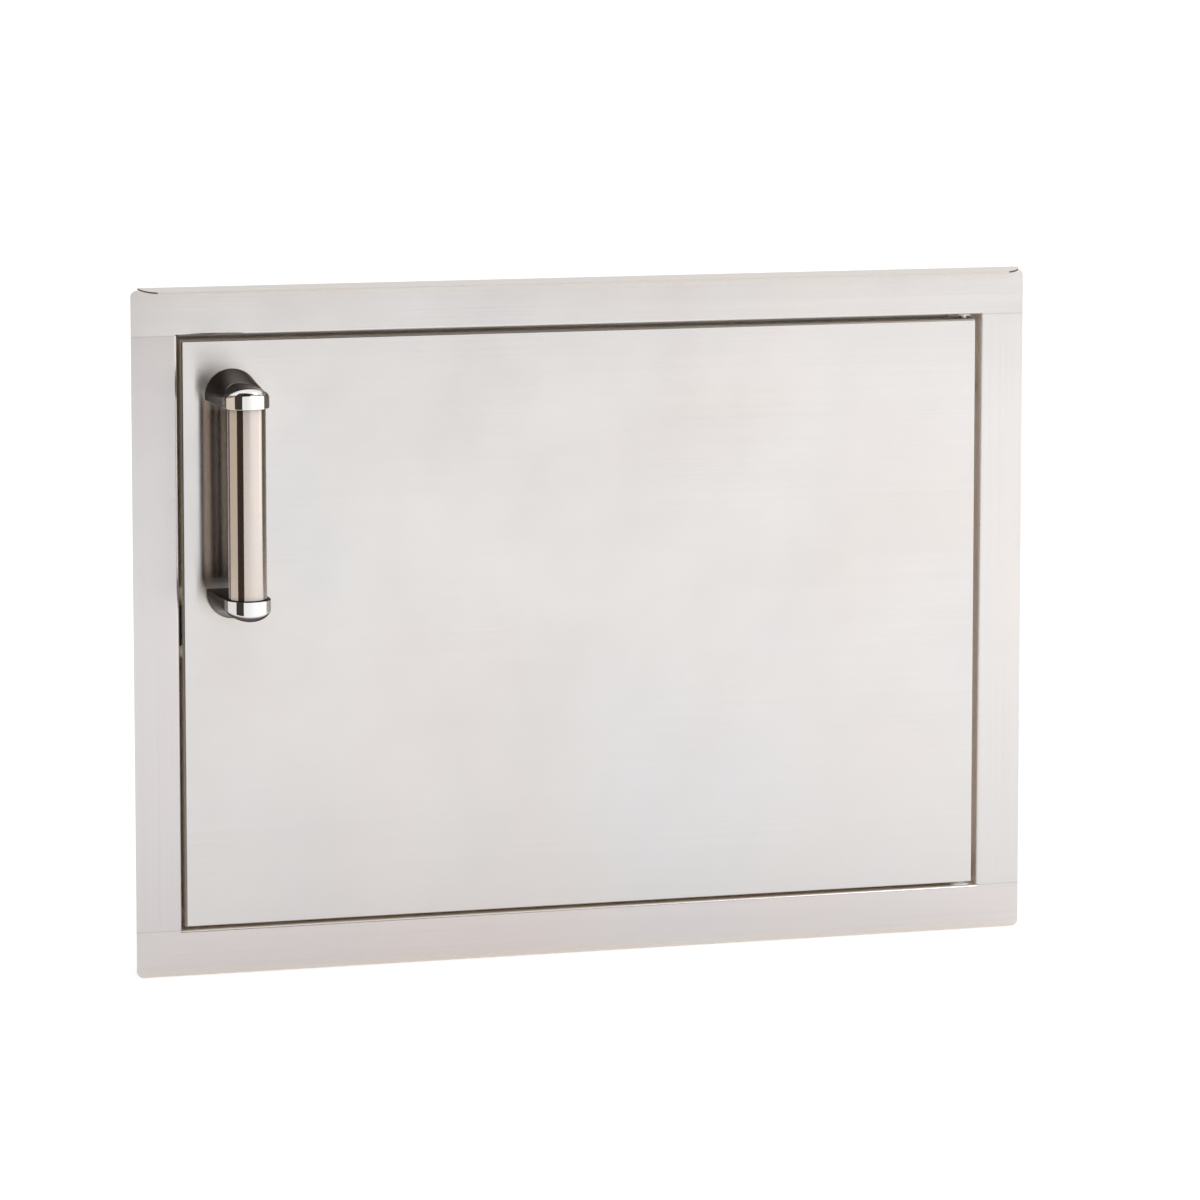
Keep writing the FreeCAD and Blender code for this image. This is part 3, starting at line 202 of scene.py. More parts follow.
def weld_group():
    # The ground weld where a stile meets a rail: a hairline across the face, and a trace of its heat
    group, tree, given, wanted = new_group(
        "weld line",
        [("Vector", VECTOR, None), ("Level", FLOAT, 0.2), ("Inner", FLOAT, 0.3),
         ("Half Width", FLOAT, 0.0004), ("Heat Width", FLOAT, 0.012)],
        [("Mask", FLOAT), ("Heat", FLOAT)])
    parts = tree.parts(given["Vector"])
    away = tree.math("SUBTRACT", tree.math("ABSOLUTE", parts["Z"]), given["Level"])
    away = tree.math("ABSOLUTE", away)
    outside = tree.math("GREATER_THAN", tree.math("ABSOLUTE", parts["X"]), given["Inner"])
    line = tree.math("SUBTRACT", 1.0, tree.math("DIVIDE", away, given["Half Width"]))
    line = tree.add("ShaderNodeClamp", {0: line}).outputs[0]
    heat = tree.fade(away, 0.0, given["Heat Width"], 1.0, 0.0, "SMOOTHSTEP")
    tree.feed(wanted["Mask"], tree.math("MULTIPLY", line, outside))
    tree.feed(wanted["Heat"], tree.math("MULTIPLY", heat, outside))
    return group


def polish_group():
    # Handling marks and uneven polish: breaks up gloss
    group, tree, given, wanted = new_group(
        "uneven polish",
        [("Vector", VECTOR, None), ("Scale", FLOAT, 20.0), ("Low", FLOAT, 0.1), ("High", FLOAT, 0.2)],
        [("Roughness", FLOAT), ("Mask", FLOAT)])
    mask = tree.ramp(tree.noise(given["Vector"], given["Scale"], 4.0, 0.6), 0.35, 0.7)
    tree.feed(wanted["Roughness"], tree.fade(mask, 0.0, 1.0, given["Low"], given["High"]))
    tree.feed(wanted["Mask"], mask)
    return group


def painted_recess_tone_group():
    # Painted shade and painted light: where ambient occlusion finds another surface close over bare metal, the
    # metal's colour is mixed towards a given painted tone and made less metallic
    group, tree, given, wanted = new_group(
        "recess shade",
        [("Reach", FLOAT, 0.1), ("Power", FLOAT, 1.5), ("Metal", COLOUR, (0.7, 0.7, 0.7, 1)),
         ("Painted Tone", COLOUR, (0.06, 0.05, 0.045, 1)), ("Painted Tone Metallic", FLOAT, 1.0)],
        [("Color", COLOUR), ("Metallic", FLOAT)])
    near = {"Distance": given["Reach"]}
    open_sky = tree.add("ShaderNodeAmbientOcclusion", near, samples=6).outputs["AO"]
    clear = tree.math("POWER", open_sky, given["Power"])
    tree.feed(wanted["Color"], tree.mix(clear, given["Painted Tone"], given["Metal"]))
    tree.feed(wanted["Metallic"], tree.fade(clear, 0.0, 1.0, given["Painted Tone Metallic"], 1.0))
    return group


def painted_bend_shade_group():
    # Painted shade: a dark band is painted along the panel's left and top edges only, near the front where they
    # are folded back, standing in for the shade in the bend and gap.
    # Edge: the panel's upper left corner
    group, tree, given, wanted = new_group(
        "bend painted shade",
        [("Vector", VECTOR, None), ("Edge", VECTOR, (0.0, 0.0, 0.0)), ("Band", FLOAT, 0.0015)],
        [("Mask", FLOAT)])
    inward = tree.parts(tree.vector_math("SUBTRACT", given["Vector"], given["Edge"]))
    nearest = tree.math("MINIMUM", inward["X"], tree.math("MULTIPLY", inward["Z"], -1.0))
    edge = tree.math("LESS_THAN", nearest, given["Band"])
    shallow = tree.math("LESS_THAN", inward["Y"], given["Band"])
    tree.feed(wanted["Mask"], tree.math("MULTIPLY", edge, shallow))
    return group


BRUSH = brush_group()
CLOUD = cloud_group()
WELD = weld_group()
POLISH = polish_group()
PAINTED_RECESS_TONE = painted_recess_tone_group()
PAINTED_BEND_LINE = painted_bend_shade_group()


# Finishes


WARM_SHEET, COOL_SHEET = (1.02, 0.985, 0.975), (0.975, 0.995, 1.015)
WARM_CAST, COOL_CAST = (1.0, 0.98, 0.95), (0.97, 0.98, 1.0)
DULL_ZINC = (1.0, 0.97, 0.9)
HEAT_SHADE, HEAT_SHARE = (0.62, 0.6, 0.6, 1), 0.08
WELD_SHADE, WELD_SHARE = (0.3, 0.28, 0.27, 1), 0.45
PAINTED_BEND_SHADE, PAINTED_BEND_SHARE = (0.1, 0.08, 0.065, 1), 0.8
LIP_PAINTED_LIGHT, LIP_END_PAINTED_SHADE, LIP_END_TURN = (0.83, 0.78, 0.74, 1), (0.16, 0.13, 0.11, 1), 0.3
LIP_LESS_METAL, LIP_MORE_ROUGH = -0.75, 0.3
SHEET_POLISH_SCALE, SHEET_POLISH_STEP = 9.0, 0.02
BUFFED, BUFFED_LOW, BUFFED_HIGH = (0.86, 0.85, 0.84), 0.03, 0.06
CAST_GRAZING = (0.45, 0.43, 0.42, 1)
SKIN_MORE_ROUGH = 0.12
# Painted shade on the cast ends where they stand close to the door
CAST_PAINTED_SHADE = {"Reach": 0.07, "Power": 2.5}
RIPPLE_SCALE, RIPPLE = 90.0, 0.03
DULL_ZINC_SHARE = 0.25
SPARK_LIGHTER, SPARK_LIFT = 1.25, 0.004


def new_material(name):
    material = bpy.data.materials.new(name)
    material.use_nodes = True
    return material, Tree(material)


def tinted(metal, tint=(1.0, 1.0, 1.0)):
    return opaque([part * share for part, share in zip(metal, tint)])


def lip_painted_light_and_shade(tree, where, start, colour, metallic, roughness):
    # Ahead of the door's face the drip lip is painted pale, less metallic and rougher: painted light. Its cut
    # ends, those facing sideways, are painted dark: painted shade
    ahead = tree.math("LESS_THAN", tree.parts(where)["Y"], start)
    painted_shade_end = tree.math("GREATER_THAN", tree.facing("X"), LIP_END_TURN)
    return (tree.mix(ahead, colour, tree.mix(painted_shade_end, LIP_PAINTED_LIGHT, LIP_END_PAINTED_SHADE)),
            tree.math("MULTIPLY_ADD", ahead, LIP_LESS_METAL, metallic),
            tree.math("MULTIPLY_ADD", ahead, LIP_MORE_ROUGH, roughness))


def brushed_steel(name, grain, across, metal, rough, spread, depth=0.1, bump=0.02, cloud=4.0,
                  welds=None, recess=None, bend=None, lip=None):
    # grain: noise scale along each axis; across: the direction square to the grain, in the object's axes
    material, tree = new_material(name)
    where = tree.place_on_piece()
    lines = tree.place(BRUSH, {"Vector": where, "Grain": grain, "Depth": depth})
    patches = tree.place(CLOUD, {"Vector": where, "Scale": cloud, "Metal": tinted(metal),
                                 "Warm": tinted(metal, WARM_SHEET), "Cool": tinted(metal, COOL_SHEET)})
    shade = tree.add("ShaderNodeCombineColor", {part: lines["Shade"] for part in range(3)}).outputs[0]
    colour = tree.mix(1.0, patches["Color"], shade, "MULTIPLY")
    if welds:
        weld = tree.place(WELD, {"Vector": where, **welds})
        colour = tree.mix(tree.math("MULTIPLY", weld["Heat"], HEAT_SHARE), colour, HEAT_SHADE)
        colour = tree.mix(tree.math("MULTIPLY", weld["Mask"], WELD_SHARE), colour, WELD_SHADE)
    # Painted shade along the folded left and top edges
    if bend:
        painted_bend_mask = tree.place(PAINTED_BEND_LINE, {"Vector": where, "Edge": bend})
        colour = tree.mix(tree.math("MULTIPLY", painted_bend_mask["Mask"], PAINTED_BEND_SHARE), colour, PAINTED_BEND_SHADE)
    metallic = 1.0
    # Painted tone in recesses: painted shade beside the handle, painted light deep in the gaps
    if recess:
        painted_recess = tree.place(PAINTED_RECESS_TONE, {"Metal": colour, **recess})
        colour, metallic = painted_recess["Color"], painted_recess["Metallic"]
    gloss = tree.place(POLISH, {"Vector": where, "Scale": SHEET_POLISH_SCALE,
                                "Low": rough - SHEET_POLISH_STEP, "High": rough + SHEET_POLISH_STEP})
    roughness = gloss["Roughness"]
    # Painted light on the drip lip and painted shade on its cut ends
    if lip is not None:
        colour, metallic, roughness = lip_painted_light_and_shade(tree, where, lip, colour, metallic, roughness)
    tangent = tree.add("ShaderNodeVectorTransform", {0: across}, vector_type="VECTOR",
                       convert_from="OBJECT", convert_to="WORLD").outputs[0]
    tree.surface({"Base Color": colour, "Metallic": metallic, "Roughness": roughness, "Anisotropic": spread,
                  "Normal": tree.bump(lines["Height"], bump, MM), "Tangent": tangent})
    return material


def cast_metal(name, skin, head_back, leg_front, crown_front, crown_tilt):
    # Only the head's rim is buffed bright. Its crown and the leg take a darker skin colour: partly the
    # casting's less polished satin skin, partly painted shade and painted dark reflection.
    # crown_tilt: how level the surface is where the skin begins and where it is whole
    material, tree = new_material(name)
    where = tree.place_on_piece()
    depth = tree.parts(where)["Y"]
    # Partly the casting's own skin, partly painted shade: the leg and the surfaces within crown_tilt are
    # darkened towards the skin colour
    leg = tree.fade(depth, head_back, leg_front, kind="SMOOTHSTEP")
    crown = tree.fade(tree.facing("Z"), *crown_tilt, kind="SMOOTHSTEP")
    crown = tree.math("MULTIPLY", crown, tree.math("GREATER_THAN", depth, crown_front))
    dull = tree.math("MAXIMUM", leg, crown)
    gloss = tree.place(POLISH, {"Vector": where, "Scale": 60.0, "Low": BUFFED_LOW, "High": BUFFED_HIGH})
    patches = tree.place(CLOUD, {"Vector": where, "Scale": 40.0, "Metal": tinted(BUFFED),
                                 "Warm": tinted(BUFFED, WARM_CAST), "Cool": tinted(BUFFED, COOL_CAST)})
    colour = tree.mix(dull, patches["Color"], opaque(skin))
    # Painted shade where the casting stands close to the door
    colour = tree.place(PAINTED_RECESS_TONE, {"Metal": colour, **CAST_PAINTED_SHADE})["Color"]
    roughness = tree.math("MULTIPLY_ADD", dull, SKIN_MORE_ROUGH, gloss["Roughness"])
    ripple = tree.bump(tree.noise(where, RIPPLE_SCALE, 1.0), RIPPLE, MM)
    tree.surface({"Base Color": colour, "Metallic": 1.0, "Roughness": roughness, "Normal": ripple,
                  "Specular Tint": CAST_GRAZING})
    return material


def plated(name, metal, low, high, crystals=600.0):
    # Zinc plate: faint crystal speckle and a satin gloss
    material, tree = new_material(name)
    where = tree.place_on_piece()
    gloss = tree.place(POLISH, {"Vector": where, "Scale": 80.0, "Low": low, "High": high})
    cells = tree.add("ShaderNodeTexVoronoi", {"Vector": where, "Scale": crystals}).outputs["Distance"]
    colour = tree.mix(1.0, tree.ramp(cells, 0.0, 0.8, 0.94, 1.0), opaque(metal), "MULTIPLY")
    dull = tree.math("MULTIPLY", gloss["Mask"], DULL_ZINC_SHARE)
    colour = tree.mix(dull, colour, tinted(metal, DULL_ZINC))
    tree.surface({"Base Color": colour, "Metallic": 1.0, "Roughness": gloss["Roughness"],
                  "Normal": tree.bump(cells, 0.05, 0.5 * MM)})
    return material


def moulded(name, colour, low, high, texture=1400.0, bump=0.15):
    # Moulded plastic or rubber: fine spark texture and handling gloss
    material, tree = new_material(name)
    where = tree.place_on_piece()
    gloss = tree.place(POLISH, {"Vector": where, "Scale": 70.0, "Low": low, "High": high})
    lighter = [min(1.0, part * SPARK_LIGHTER + SPARK_LIFT) for part in colour]
    spark = tree.noise(where, texture, 2.0)
    shade = tree.mix(tree.ramp(spark, 0.4, 0.75), opaque(colour), opaque(lighter))
    tree.surface({"Base Color": shade, "Roughness": gloss["Roughness"],
                  "Normal": tree.bump(spark, bump, 0.3 * MM)})
    return material


skin_low, skin_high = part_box("door_skin")
stile_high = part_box("left_stile")[1]
DOOR_CORNER = (skin_low.x, skin_low.y, skin_high.z)
LIP_START = skin_low.y - 1 * MM
UP, RIGHT, ALONG_TUBE = (0.0, 0.25, 1.0), (1.0, 0.25, 0.0), (0.0, 0.0, 1.0)
LEVEL_GRAIN, UPRIGHT_GRAIN, TUBE_GRAIN = (5.0, 700.0, 1500.0), (1500.0, 700.0, 5.0), (8.0, 8.0, 900.0)
# The bottom rail's and left stile's colours are warmer, slightly darker copies of the sheet's: painted shade
SHEET, LOW_RAIL_PAINTED_SHADE, LEFT_STILE_PAINTED_SHADE = (0.75, 0.725, 0.71), (0.755, 0.705, 0.69), (0.725, 0.69, 0.68)
# Painted light: deep in the gaps round the door the steel turns a pale, almost matt tan, standing in for the
# light that bounces there
GAP_PAINTED_LIGHT = {"Reach": 0.01, "Power": 0.8, "Painted Tone": (0.94, 0.83, 0.69, 1), "Painted Tone Metallic": 0.1}
# Painted shade: where the tube faces the door close by, it is darkened to near-black brown
BESIDE_TUBE_PAINTED_SHADE = {"Reach": 0.07, "Power": 1.1, "Painted Tone": (0.085, 0.06, 0.042, 1)}
OPENING_HALF = 0.309
WELDS = {"Level": stile_high.z, "Inner": OPENING_HALF}
FRAME_SHEET = {"depth": 0.15, "welds": WELDS, "recess": GAP_PAINTED_LIGHT}
# Skin colours of the cast ends. The low end's is a much darker copy of the top end's: painted shade
CAST_SKIN_AND_PAINTED_SHADE, CAST_SKIN_AND_PAINTED_SHADE_LOW = (0.43, 0.395, 0.37), (0.12, 0.106, 0.097)
BEYOND_HEAD = -1.0

door_face = brushed_steel("door_brushed_steel", LEVEL_GRAIN, UP, SHEET, 0.165, 1.0,
                          depth=0.08, recess=GAP_PAINTED_LIGHT, bend=DOOR_CORNER)
rail_face = brushed_steel("rail_brushed_steel", LEVEL_GRAIN, UP, SHEET, 0.2, 0.9,
                          lip=LIP_START, **FRAME_SHEET)
# Painted shade: the bottom rail and left stile use darker, warmer copies of the sheet steel
low_rail_painted_shade_face = brushed_steel("low_rail_brushed_steel_painted_shade", LEVEL_GRAIN, UP, LOW_RAIL_PAINTED_SHADE, 0.2, 0.9, **FRAME_SHEET)
stile_face = brushed_steel("stile_brushed_steel", UPRIGHT_GRAIN, RIGHT, SHEET, 0.26, 0.7, **FRAME_SHEET)
left_stile_painted_shade_face = brushed_steel("left_stile_brushed_steel_painted_shade", UPRIGHT_GRAIN, RIGHT, LEFT_STILE_PAINTED_SHADE, 0.26, 0.7,
                                **FRAME_SHEET)
inner_sheet = brushed_steel("liner_mill_steel", (6.0, 300.0, 500.0), UP, (0.7, 0.7, 0.7), 0.38, 0.4,
                            depth=0.06, bump=0.01, cloud=7.0)
stop_sheet = brushed_steel("stop_steel", (6.0, 500.0, 500.0), UP, (0.66, 0.65, 0.64), 0.36, 0.3,
                           depth=0.08, cloud=20.0)
tube_steel = brushed_steel("tube_satin_steel", TUBE_GRAIN, ALONG_TUBE, (0.65, 0.585, 0.535), 0.1, 0.5,
                           depth=0.06, bump=0.01, cloud=30.0, recess=BESIDE_TUBE_PAINTED_SHADE)
cast_steel = cast_metal("cast_polished_steel", CAST_SKIN_AND_PAINTED_SHADE, head_back=-0.056, leg_front=-0.046,
                        crown_front=-0.0725, crown_tilt=(0.85, 0.985))
# Painted shade: the low end is a darker copy, darkened wherever it faces up or down but not on its upright
# walls
cast_steel_low_painted_shade = cast_metal("cast_polished_steel_low_painted_shade", CAST_SKIN_AND_PAINTED_SHADE_LOW, head_back=-0.058, leg_front=-0.05,
                            crown_front=BEYOND_HEAD, crown_tilt=(0.08, 0.4))
zinc = plated("zinc_plated_steel", (0.62, 0.63, 0.64), 0.28, 0.42)
pin_steel = plated("pin_bright_steel", (0.66, 0.66, 0.66), 0.18, 0.3, 900.0)
rivet_metal = plated("rivet_aluminium", (0.76, 0.77, 0.78), 0.3, 0.42, 1100.0)
ferrite = moulded("ferrite_magnet", (0.035, 0.034, 0.036), 0.45, 0.7, 2200.0, 0.4)
black_plastic = moulded("catch_black_plastic", (0.012, 0.012, 0.013), 0.35, 0.55)
white_plastic = moulded("pivot_white_plastic", (0.78, 0.77, 0.72), 0.35, 0.5)
soft_rubber = moulded("bumper_rubber", (0.03, 0.03, 0.031), 0.65, 0.85, 900.0, 0.3)

MADE_OF = (
    (rail_face, "top_rail"),
    (low_rail_painted_shade_face, "bottom_rail"),
    (left_stile_painted_shade_face, "left_stile"),
    (stile_face, "right_stile"),
    (door_face, "door_skin"),
    (inner_sheet, "door_liner"),
    (stop_sheet, "stop_top stop_bottom stop_left_upper stop_left_lower"),
    (tube_steel, "handle_tube"),
    (cast_steel, "handle_end_top"),
    (cast_steel_low_painted_shade, "handle_end_bottom"),
    (zinc, "handle_screw_top handle_screw_bottom handle_washer_top handle_washer_bottom"),
    (zinc, "handle_backing_plate upper_hinge_bracket lower_hinge_bracket pin_clip strike_plate"),
    (zinc, "catch_pole_left catch_pole_right catch_screw_upper catch_screw_lower"),
    (pin_steel, "hinge_pin pin_spring lower_pivot_stud"),
    (rivet_metal, "strike_rivet_upper strike_rivet_lower"),
    (ferrite, "catch_magnet"),
    (black_plastic, "catch_housing pin_grip liner_plug_top liner_plug_bottom"),
    (white_plastic, "upper_bushing lower_bushing lower_washer"),
    (soft_rubber, "bumper_upper bumper_lower"),
)
FINISH = {name: material for material, names in MADE_OF for name in names.split()}
for name, obj in nodes.items():
    obj.data.materials.clear()
    obj.data.materials.append(FINISH[name])


# Helpers for meshes


SAME_POINT = 1e-7


def mesh_piece(name, points, faces, material):
    mesh = bpy.data.meshes.new(name)
    mesh.from_pydata([tuple(point) for point in points], [], faces)
    work = bmesh.new()
    work.from_mesh(mesh)
    bmesh.ops.remove_doubles(work, verts=work.verts, dist=SAME_POINT)
    bmesh.ops.recalc_face_normals(work, faces=work.faces)
    work.to_mesh(mesh)
    work.free()
    mesh.materials.append(material)
    obj = bpy.data.objects.new(name, mesh)
    scene.collection.objects.link(obj)
    return obj


def smoothed(obj, angle):
    # Smooth, except along edges that turn by more than the angle
    obj.data.polygons.foreach_set("use_smooth", [True] * len(obj.data.polygons))
    obj.data.set_sharp_from_angle(angle=math.radians(angle))
    return obj


def grid_faces(rows, columns, closed=False):
    faces = []
    for i in range(rows - 1):
        for j in range(columns if closed else columns - 1):
            k = (j + 1) % columns
            faces.append((i * columns + j, i * columns + k, (i + 1) * columns + k, (i + 1) * columns + j))
    return faces


def arc_points(centre, radius, start, end, count):
    step = (end - start) / (count - 1)
    turns = [math.radians(start + step * i) for i in range(count)]
    return [(centre[0] + radius * math.cos(turn), centre[1] + radius * math.sin(turn)) for turn in turns]


def turned_piece(name, profile, place, material, segments, angle):
    # profile: (radius, height) points of an outline, turned about Z and then placed
    points = []
    for radius, height in profile:
        for j in range(segments):
            turn = 2 * math.pi * j / segments
            points.append(place @ Vector((radius * math.cos(turn), radius * math.sin(turn), height)))
    return smoothed(mesh_piece(name, points, grid_faces(len(profile), segments, True), material), angle)


def on_door(piece, node):
    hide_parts(node)
    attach(piece, "door_set")


# Handle: the tube and its two polished cast ends


TUBE_WALL = 1.5 * MM
tube_low, tube_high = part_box("handle_tube")
tube_mid = (tube_low + tube_high) / 2
tube_radius = (tube_high.x - tube_low.x) / 2
tube_bore = tube_radius - TUBE_WALL
tube_outline = [(tube_bore, tube_low.z), (tube_radius, tube_low.z),
                (tube_radius, tube_high.z), (tube_bore, tube_high.z)]
tube_place = Matrix.Translation((tube_mid.x, tube_mid.y, 0))
on_door(turned_piece("handle_tube_satin", tube_outline, tube_place, tube_steel, segments=128, angle=30.0),
        "handle_tube")

# Sizes of a cast end, in millimetres
CAST_HALF = 16.5
CAST_LIP = 0.4
CROWN_HIGH = 15.2
CROWN_RADIUS = 27.0
CROWN_EDGE = 5.0
CROWN_MIDDLE = CROWN_HIGH - CROWN_RADIUS
CREASE_BACK = 29.0
CREASE_SIDE = 6.0
RING_HIGH = 0.75
RING_WIDE = 3.0
RING_AHEAD = 0.2
FOOT_RADIUS = 20.0
FOOT_RISE = 2.7
SHOULDER_TURN = 40
CLOSE_ROW = 0.12

# How finely a cast end is divided. Its head and foot have equally many points
LIP_POINTS = 9
EDGE_POINTS = 25
VAULT_STEPS = 20
HEAD_STEPS = 96
NECK_STEPS = 14
RING_STEPS = 8
TOUCH_TRIES = 12
CAST_SHARP = 34
FLARE_SHARES = [0.0, 0.004, 0.01, 0.02, 0.04, 0.08] + [0.16 + 0.12 * i for i in range(8)]


def wall_section(half, height):
    # Underside, rounded lip and upright wall, with close rows where the flats begin so that they mirror flat
    section = [(0.0, 0.0), (half * 0.5, 0.0), (half - CAST_LIP - CLOSE_ROW, 0.0)]
    section += arc_points((half - CAST_LIP, CAST_LIP), CAST_LIP, -90, 0, LIP_POINTS)
    return section + [(half, CAST_LIP + CLOSE_ROW), (half, height - CLOSE_ROW)]


def crown_section(swing):
    # Half section of the head, from the flat underside round its lip, up the wall and over the crown.
    # swing is the angle from straight ahead, in degrees: the crown is a level vault that runs to the door
    slope = math.sin(math.radians(swing)) ** 2

    def vault(radius):
        return CROWN_MIDDLE + math.sqrt(CROWN_RADIUS ** 2 - slope * radius ** 2)

    # The rounded edge touches the vault where both slope alike, found by going round a few times
    middle = CAST_HALF - CROWN_EDGE
    touch = middle
    for _ in range(TOUCH_TRIES):
        fall = slope * touch / (vault(touch) - CROWN_MIDDLE)
        touch = middle + CROWN_EDGE * fall / math.hypot(1, fall)
    height = vault(touch) - CROWN_EDGE / math.hypot(1, fall)
    turn = math.degrees(math.atan2(1, fall))
    section = wall_section(CAST_HALF, height)
    section += arc_points((middle, height), CROWN_EDGE, 0, turn, EDGE_POINTS)
    inward = [touch * (1 - i / VAULT_STEPS) for i in range(1, VAULT_STEPS + 1)]
    return section + [(radius, vault(radius)) for radius in inward]


def arch_section(radius, rise):
    # Straight sides under a half circle
    section = wall_section(radius, rise)
    section += arc_points((0, rise), radius, 0, SHOULDER_TURN, EDGE_POINTS)
    return section + arc_points((0, rise), radius, SHOULDER_TURN, 90, VAULT_STEPS + 1)[1:]


def cast_end(name, node, side):
    # One cast end: a round head over the tube, and a leg that flares to its foot on the door. A raised ring
    # marks where the leg begins: far back over the crown, close behind the head on both sides
    low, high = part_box(node)
    rim = low.z if side > 0 else high.z
    reach = (high.y - tube_mid.y) / MM
    head, foot = crown_section(90), arch_section(FOOT_RADIUS, FOOT_RISE)
    crown = [max(0.0, 1 - (x / CAST_HALF) ** 2) if z > CAST_HALF / 2 else 0.0 for x, z in head]
    crease = [CREASE_SIDE + (CREASE_BACK - CREASE_SIDE) * share for share in crown]

    def spot(across, back, up):
        return Vector((tube_mid.x + across * MM * side, tube_mid.y + back * MM, rim + up * MM * side))

    def leg_row(hand, share):
        return [spot(hand * (h[0] + (f[0] - h[0]) * share), start + (reach - start) * share,
                     h[1] + (f[1] - h[1]) * share) for h, f, start in zip(head, foot, crease)]

    def ring_row(hand, i):
        rise = RING_HIGH * math.sin(math.pi * i / RING_STEPS)
        return [spot(hand * x, start - RING_AHEAD - RING_WIDE * i / RING_STEPS, z + rise * share)
                for (x, z), start, share in zip(head, crease, crown)]

    def neck_row(hand, i):
        return [spot(hand * x, (start - RING_AHEAD - RING_WIDE) * i / NECK_STEPS, z)
                for (x, z), start in zip(head, crease)]

    def wing(hand):
        # From the foot forwards to the head, on one side
        return ([leg_row(hand, share) for share in reversed(FLARE_SHARES)]
                + [ring_row(hand, i) for i in range(RING_STEPS + 1)]
                + [neck_row(hand, i) for i in range(NECK_STEPS - 1, 0, -1)])

    rows = wing(-1)
    for i in range(HEAD_STEPS + 1):
        swing = -90 + 180 * i / HEAD_STEPS
        turn = math.radians(swing)
        rows.append([spot(x * math.sin(turn), -x * math.cos(turn), z) for x, z in crown_section(swing)])
    rows += reversed(wing(1))
    points = [point for row in rows for point in row]
    columns = len(head)
    last = (len(rows) - 1) * columns
    faces = grid_faces(len(rows), columns)
    faces.append(tuple(range(columns)) + tuple(last + j for j in reversed(range(1, columns - 1))))
    on_door(smoothed(mesh_piece(name, points, faces, FINISH[node]), CAST_SHARP), node)


cast_end("handle_end_top_polished", "handle_end_top", 1)
cast_end("handle_end_bottom_polished", "handle_end_bottom", -1)


# Stage: pale floor, soft light, and flags that only gloss sees


FLOOR_LIFT = 0.45
FLOOR_LEFT, FLOOR_RIGHT = 0.22, 0.5
FLOOR_LEFT_END, FLOOR_RIGHT_END = -1.0, 2.0
FLOOR_NEAR = -0.06
FLOOR_FRONT_END = -1.6
FLOOR_HALF = 20.0
FLOOR_BELOW = 0.5 * MM
SKY_LIGHT, SKY_SHOWN = 0.75, 1.0
WHITE = (1, 1, 1, 1)


def seen_by_gloss(tree):
    # 1 for the rays of the camera, of gloss and of glass, 0 for the light that falls on matt surfaces
    path = tree.add("ShaderNodeLightPath").outputs
    gloss = tree.math("MAXIMUM", path["Is Glossy Ray"], path["Is Transmission Ray"])
    return tree.math("MAXIMUM", path["Is Camera Ray"], gloss), gloss


def studio_floor(height):
    # Pale floor that keeps the shadow: it shows white, and in gloss dimmer near the door and to the left
    material, tree = new_material("studio_floor_pale")
    shown, gloss = seen_by_gloss(tree)
    place = tree.parts(tree.add("ShaderNodeNewGeometry").outputs["Position"])
    right = tree.fade(place["X"], FLOOR_LEFT_END, FLOOR_RIGHT_END, FLOOR_LEFT, FLOOR_RIGHT)
    near = tree.fade(place["Y"], FLOOR_FRONT_END, 0.0, 0.0, FLOOR_NEAR)
    lift = tree.mix(gloss, opaque([FLOOR_LIFT] * 3), tree.math("ADD", right, near))
    matt = tree.add("ShaderNodeBsdfDiffuse", {"Color": (0.9, 0.9, 0.9, 1)}).outputs[0]
    glow = tree.add("ShaderNodeEmission", {"Color": lift, "Strength": shown}).outputs[0]
    both = tree.add("ShaderNodeAddShader", {0: matt, 1: glow}).outputs[0]
    tree.add("ShaderNodeOutputMaterial", {"Surface": both})
    half = FLOOR_HALF
    corners = [(-half, -half, height), (half, -half, height), (half, half, height), (-half, half, height)]
    mesh_piece("studio_floor", corners, [(0, 1, 2, 3)], material)


def studio_sky():
    world = bpy.data.worlds.new("studio_world")
    world.use_nodes = True
    scene.world = world
    tree = Tree(world)
    strength = tree.fade(seen_by_gloss(tree)[0], 0.0, 1.0, SKY_LIGHT, SKY_SHOWN)
    backdrop = tree.add("ShaderNodeBackground", {"Color": WHITE, "Strength": strength}).outputs[0]
    tree.add("ShaderNodeOutputWorld", {"Surface": backdrop})


def gloss_card(name, shade, corners, twice):
    # A studio flag: seen only in reflections, never by the camera, and it casts no shadow.
    # twice: seen only by what two surfaces reflect, such as the door's image in the handle
    material, tree = new_material(name)
    surface = tree.add("ShaderNodeEmission", {"Color": opaque(shade), "Strength": 1.0}).outputs[0]
    if twice:
        second = tree.math("GREATER_THAN", tree.add("ShaderNodeLightPath").outputs["Ray Depth"], 1.5)
        clear = tree.add("ShaderNodeBsdfTransparent").outputs[0]
        surface = tree.add("ShaderNodeMixShader", {0: second, 1: clear, 2: surface}).outputs[0]
    tree.add("ShaderNodeOutputMaterial", {"Surface": surface})
    card = mesh_piece(name, corners, [(0, 1, 2, 3)], material)
    card.visible_camera = False
    card.visible_diffuse = False
    card.visible_shadow = False
    card.visible_transmission = False
    card.visible_volume_scatter = False


def round_handle(azimuth, radius, height):
    # azimuth 0 is straight ahead of the door and positive to the right, seen from the handle
    turn = math.radians(azimuth)
    return Vector((tube_mid.x + radius * math.sin(turn), tube_mid.y - radius * math.cos(turn), height))


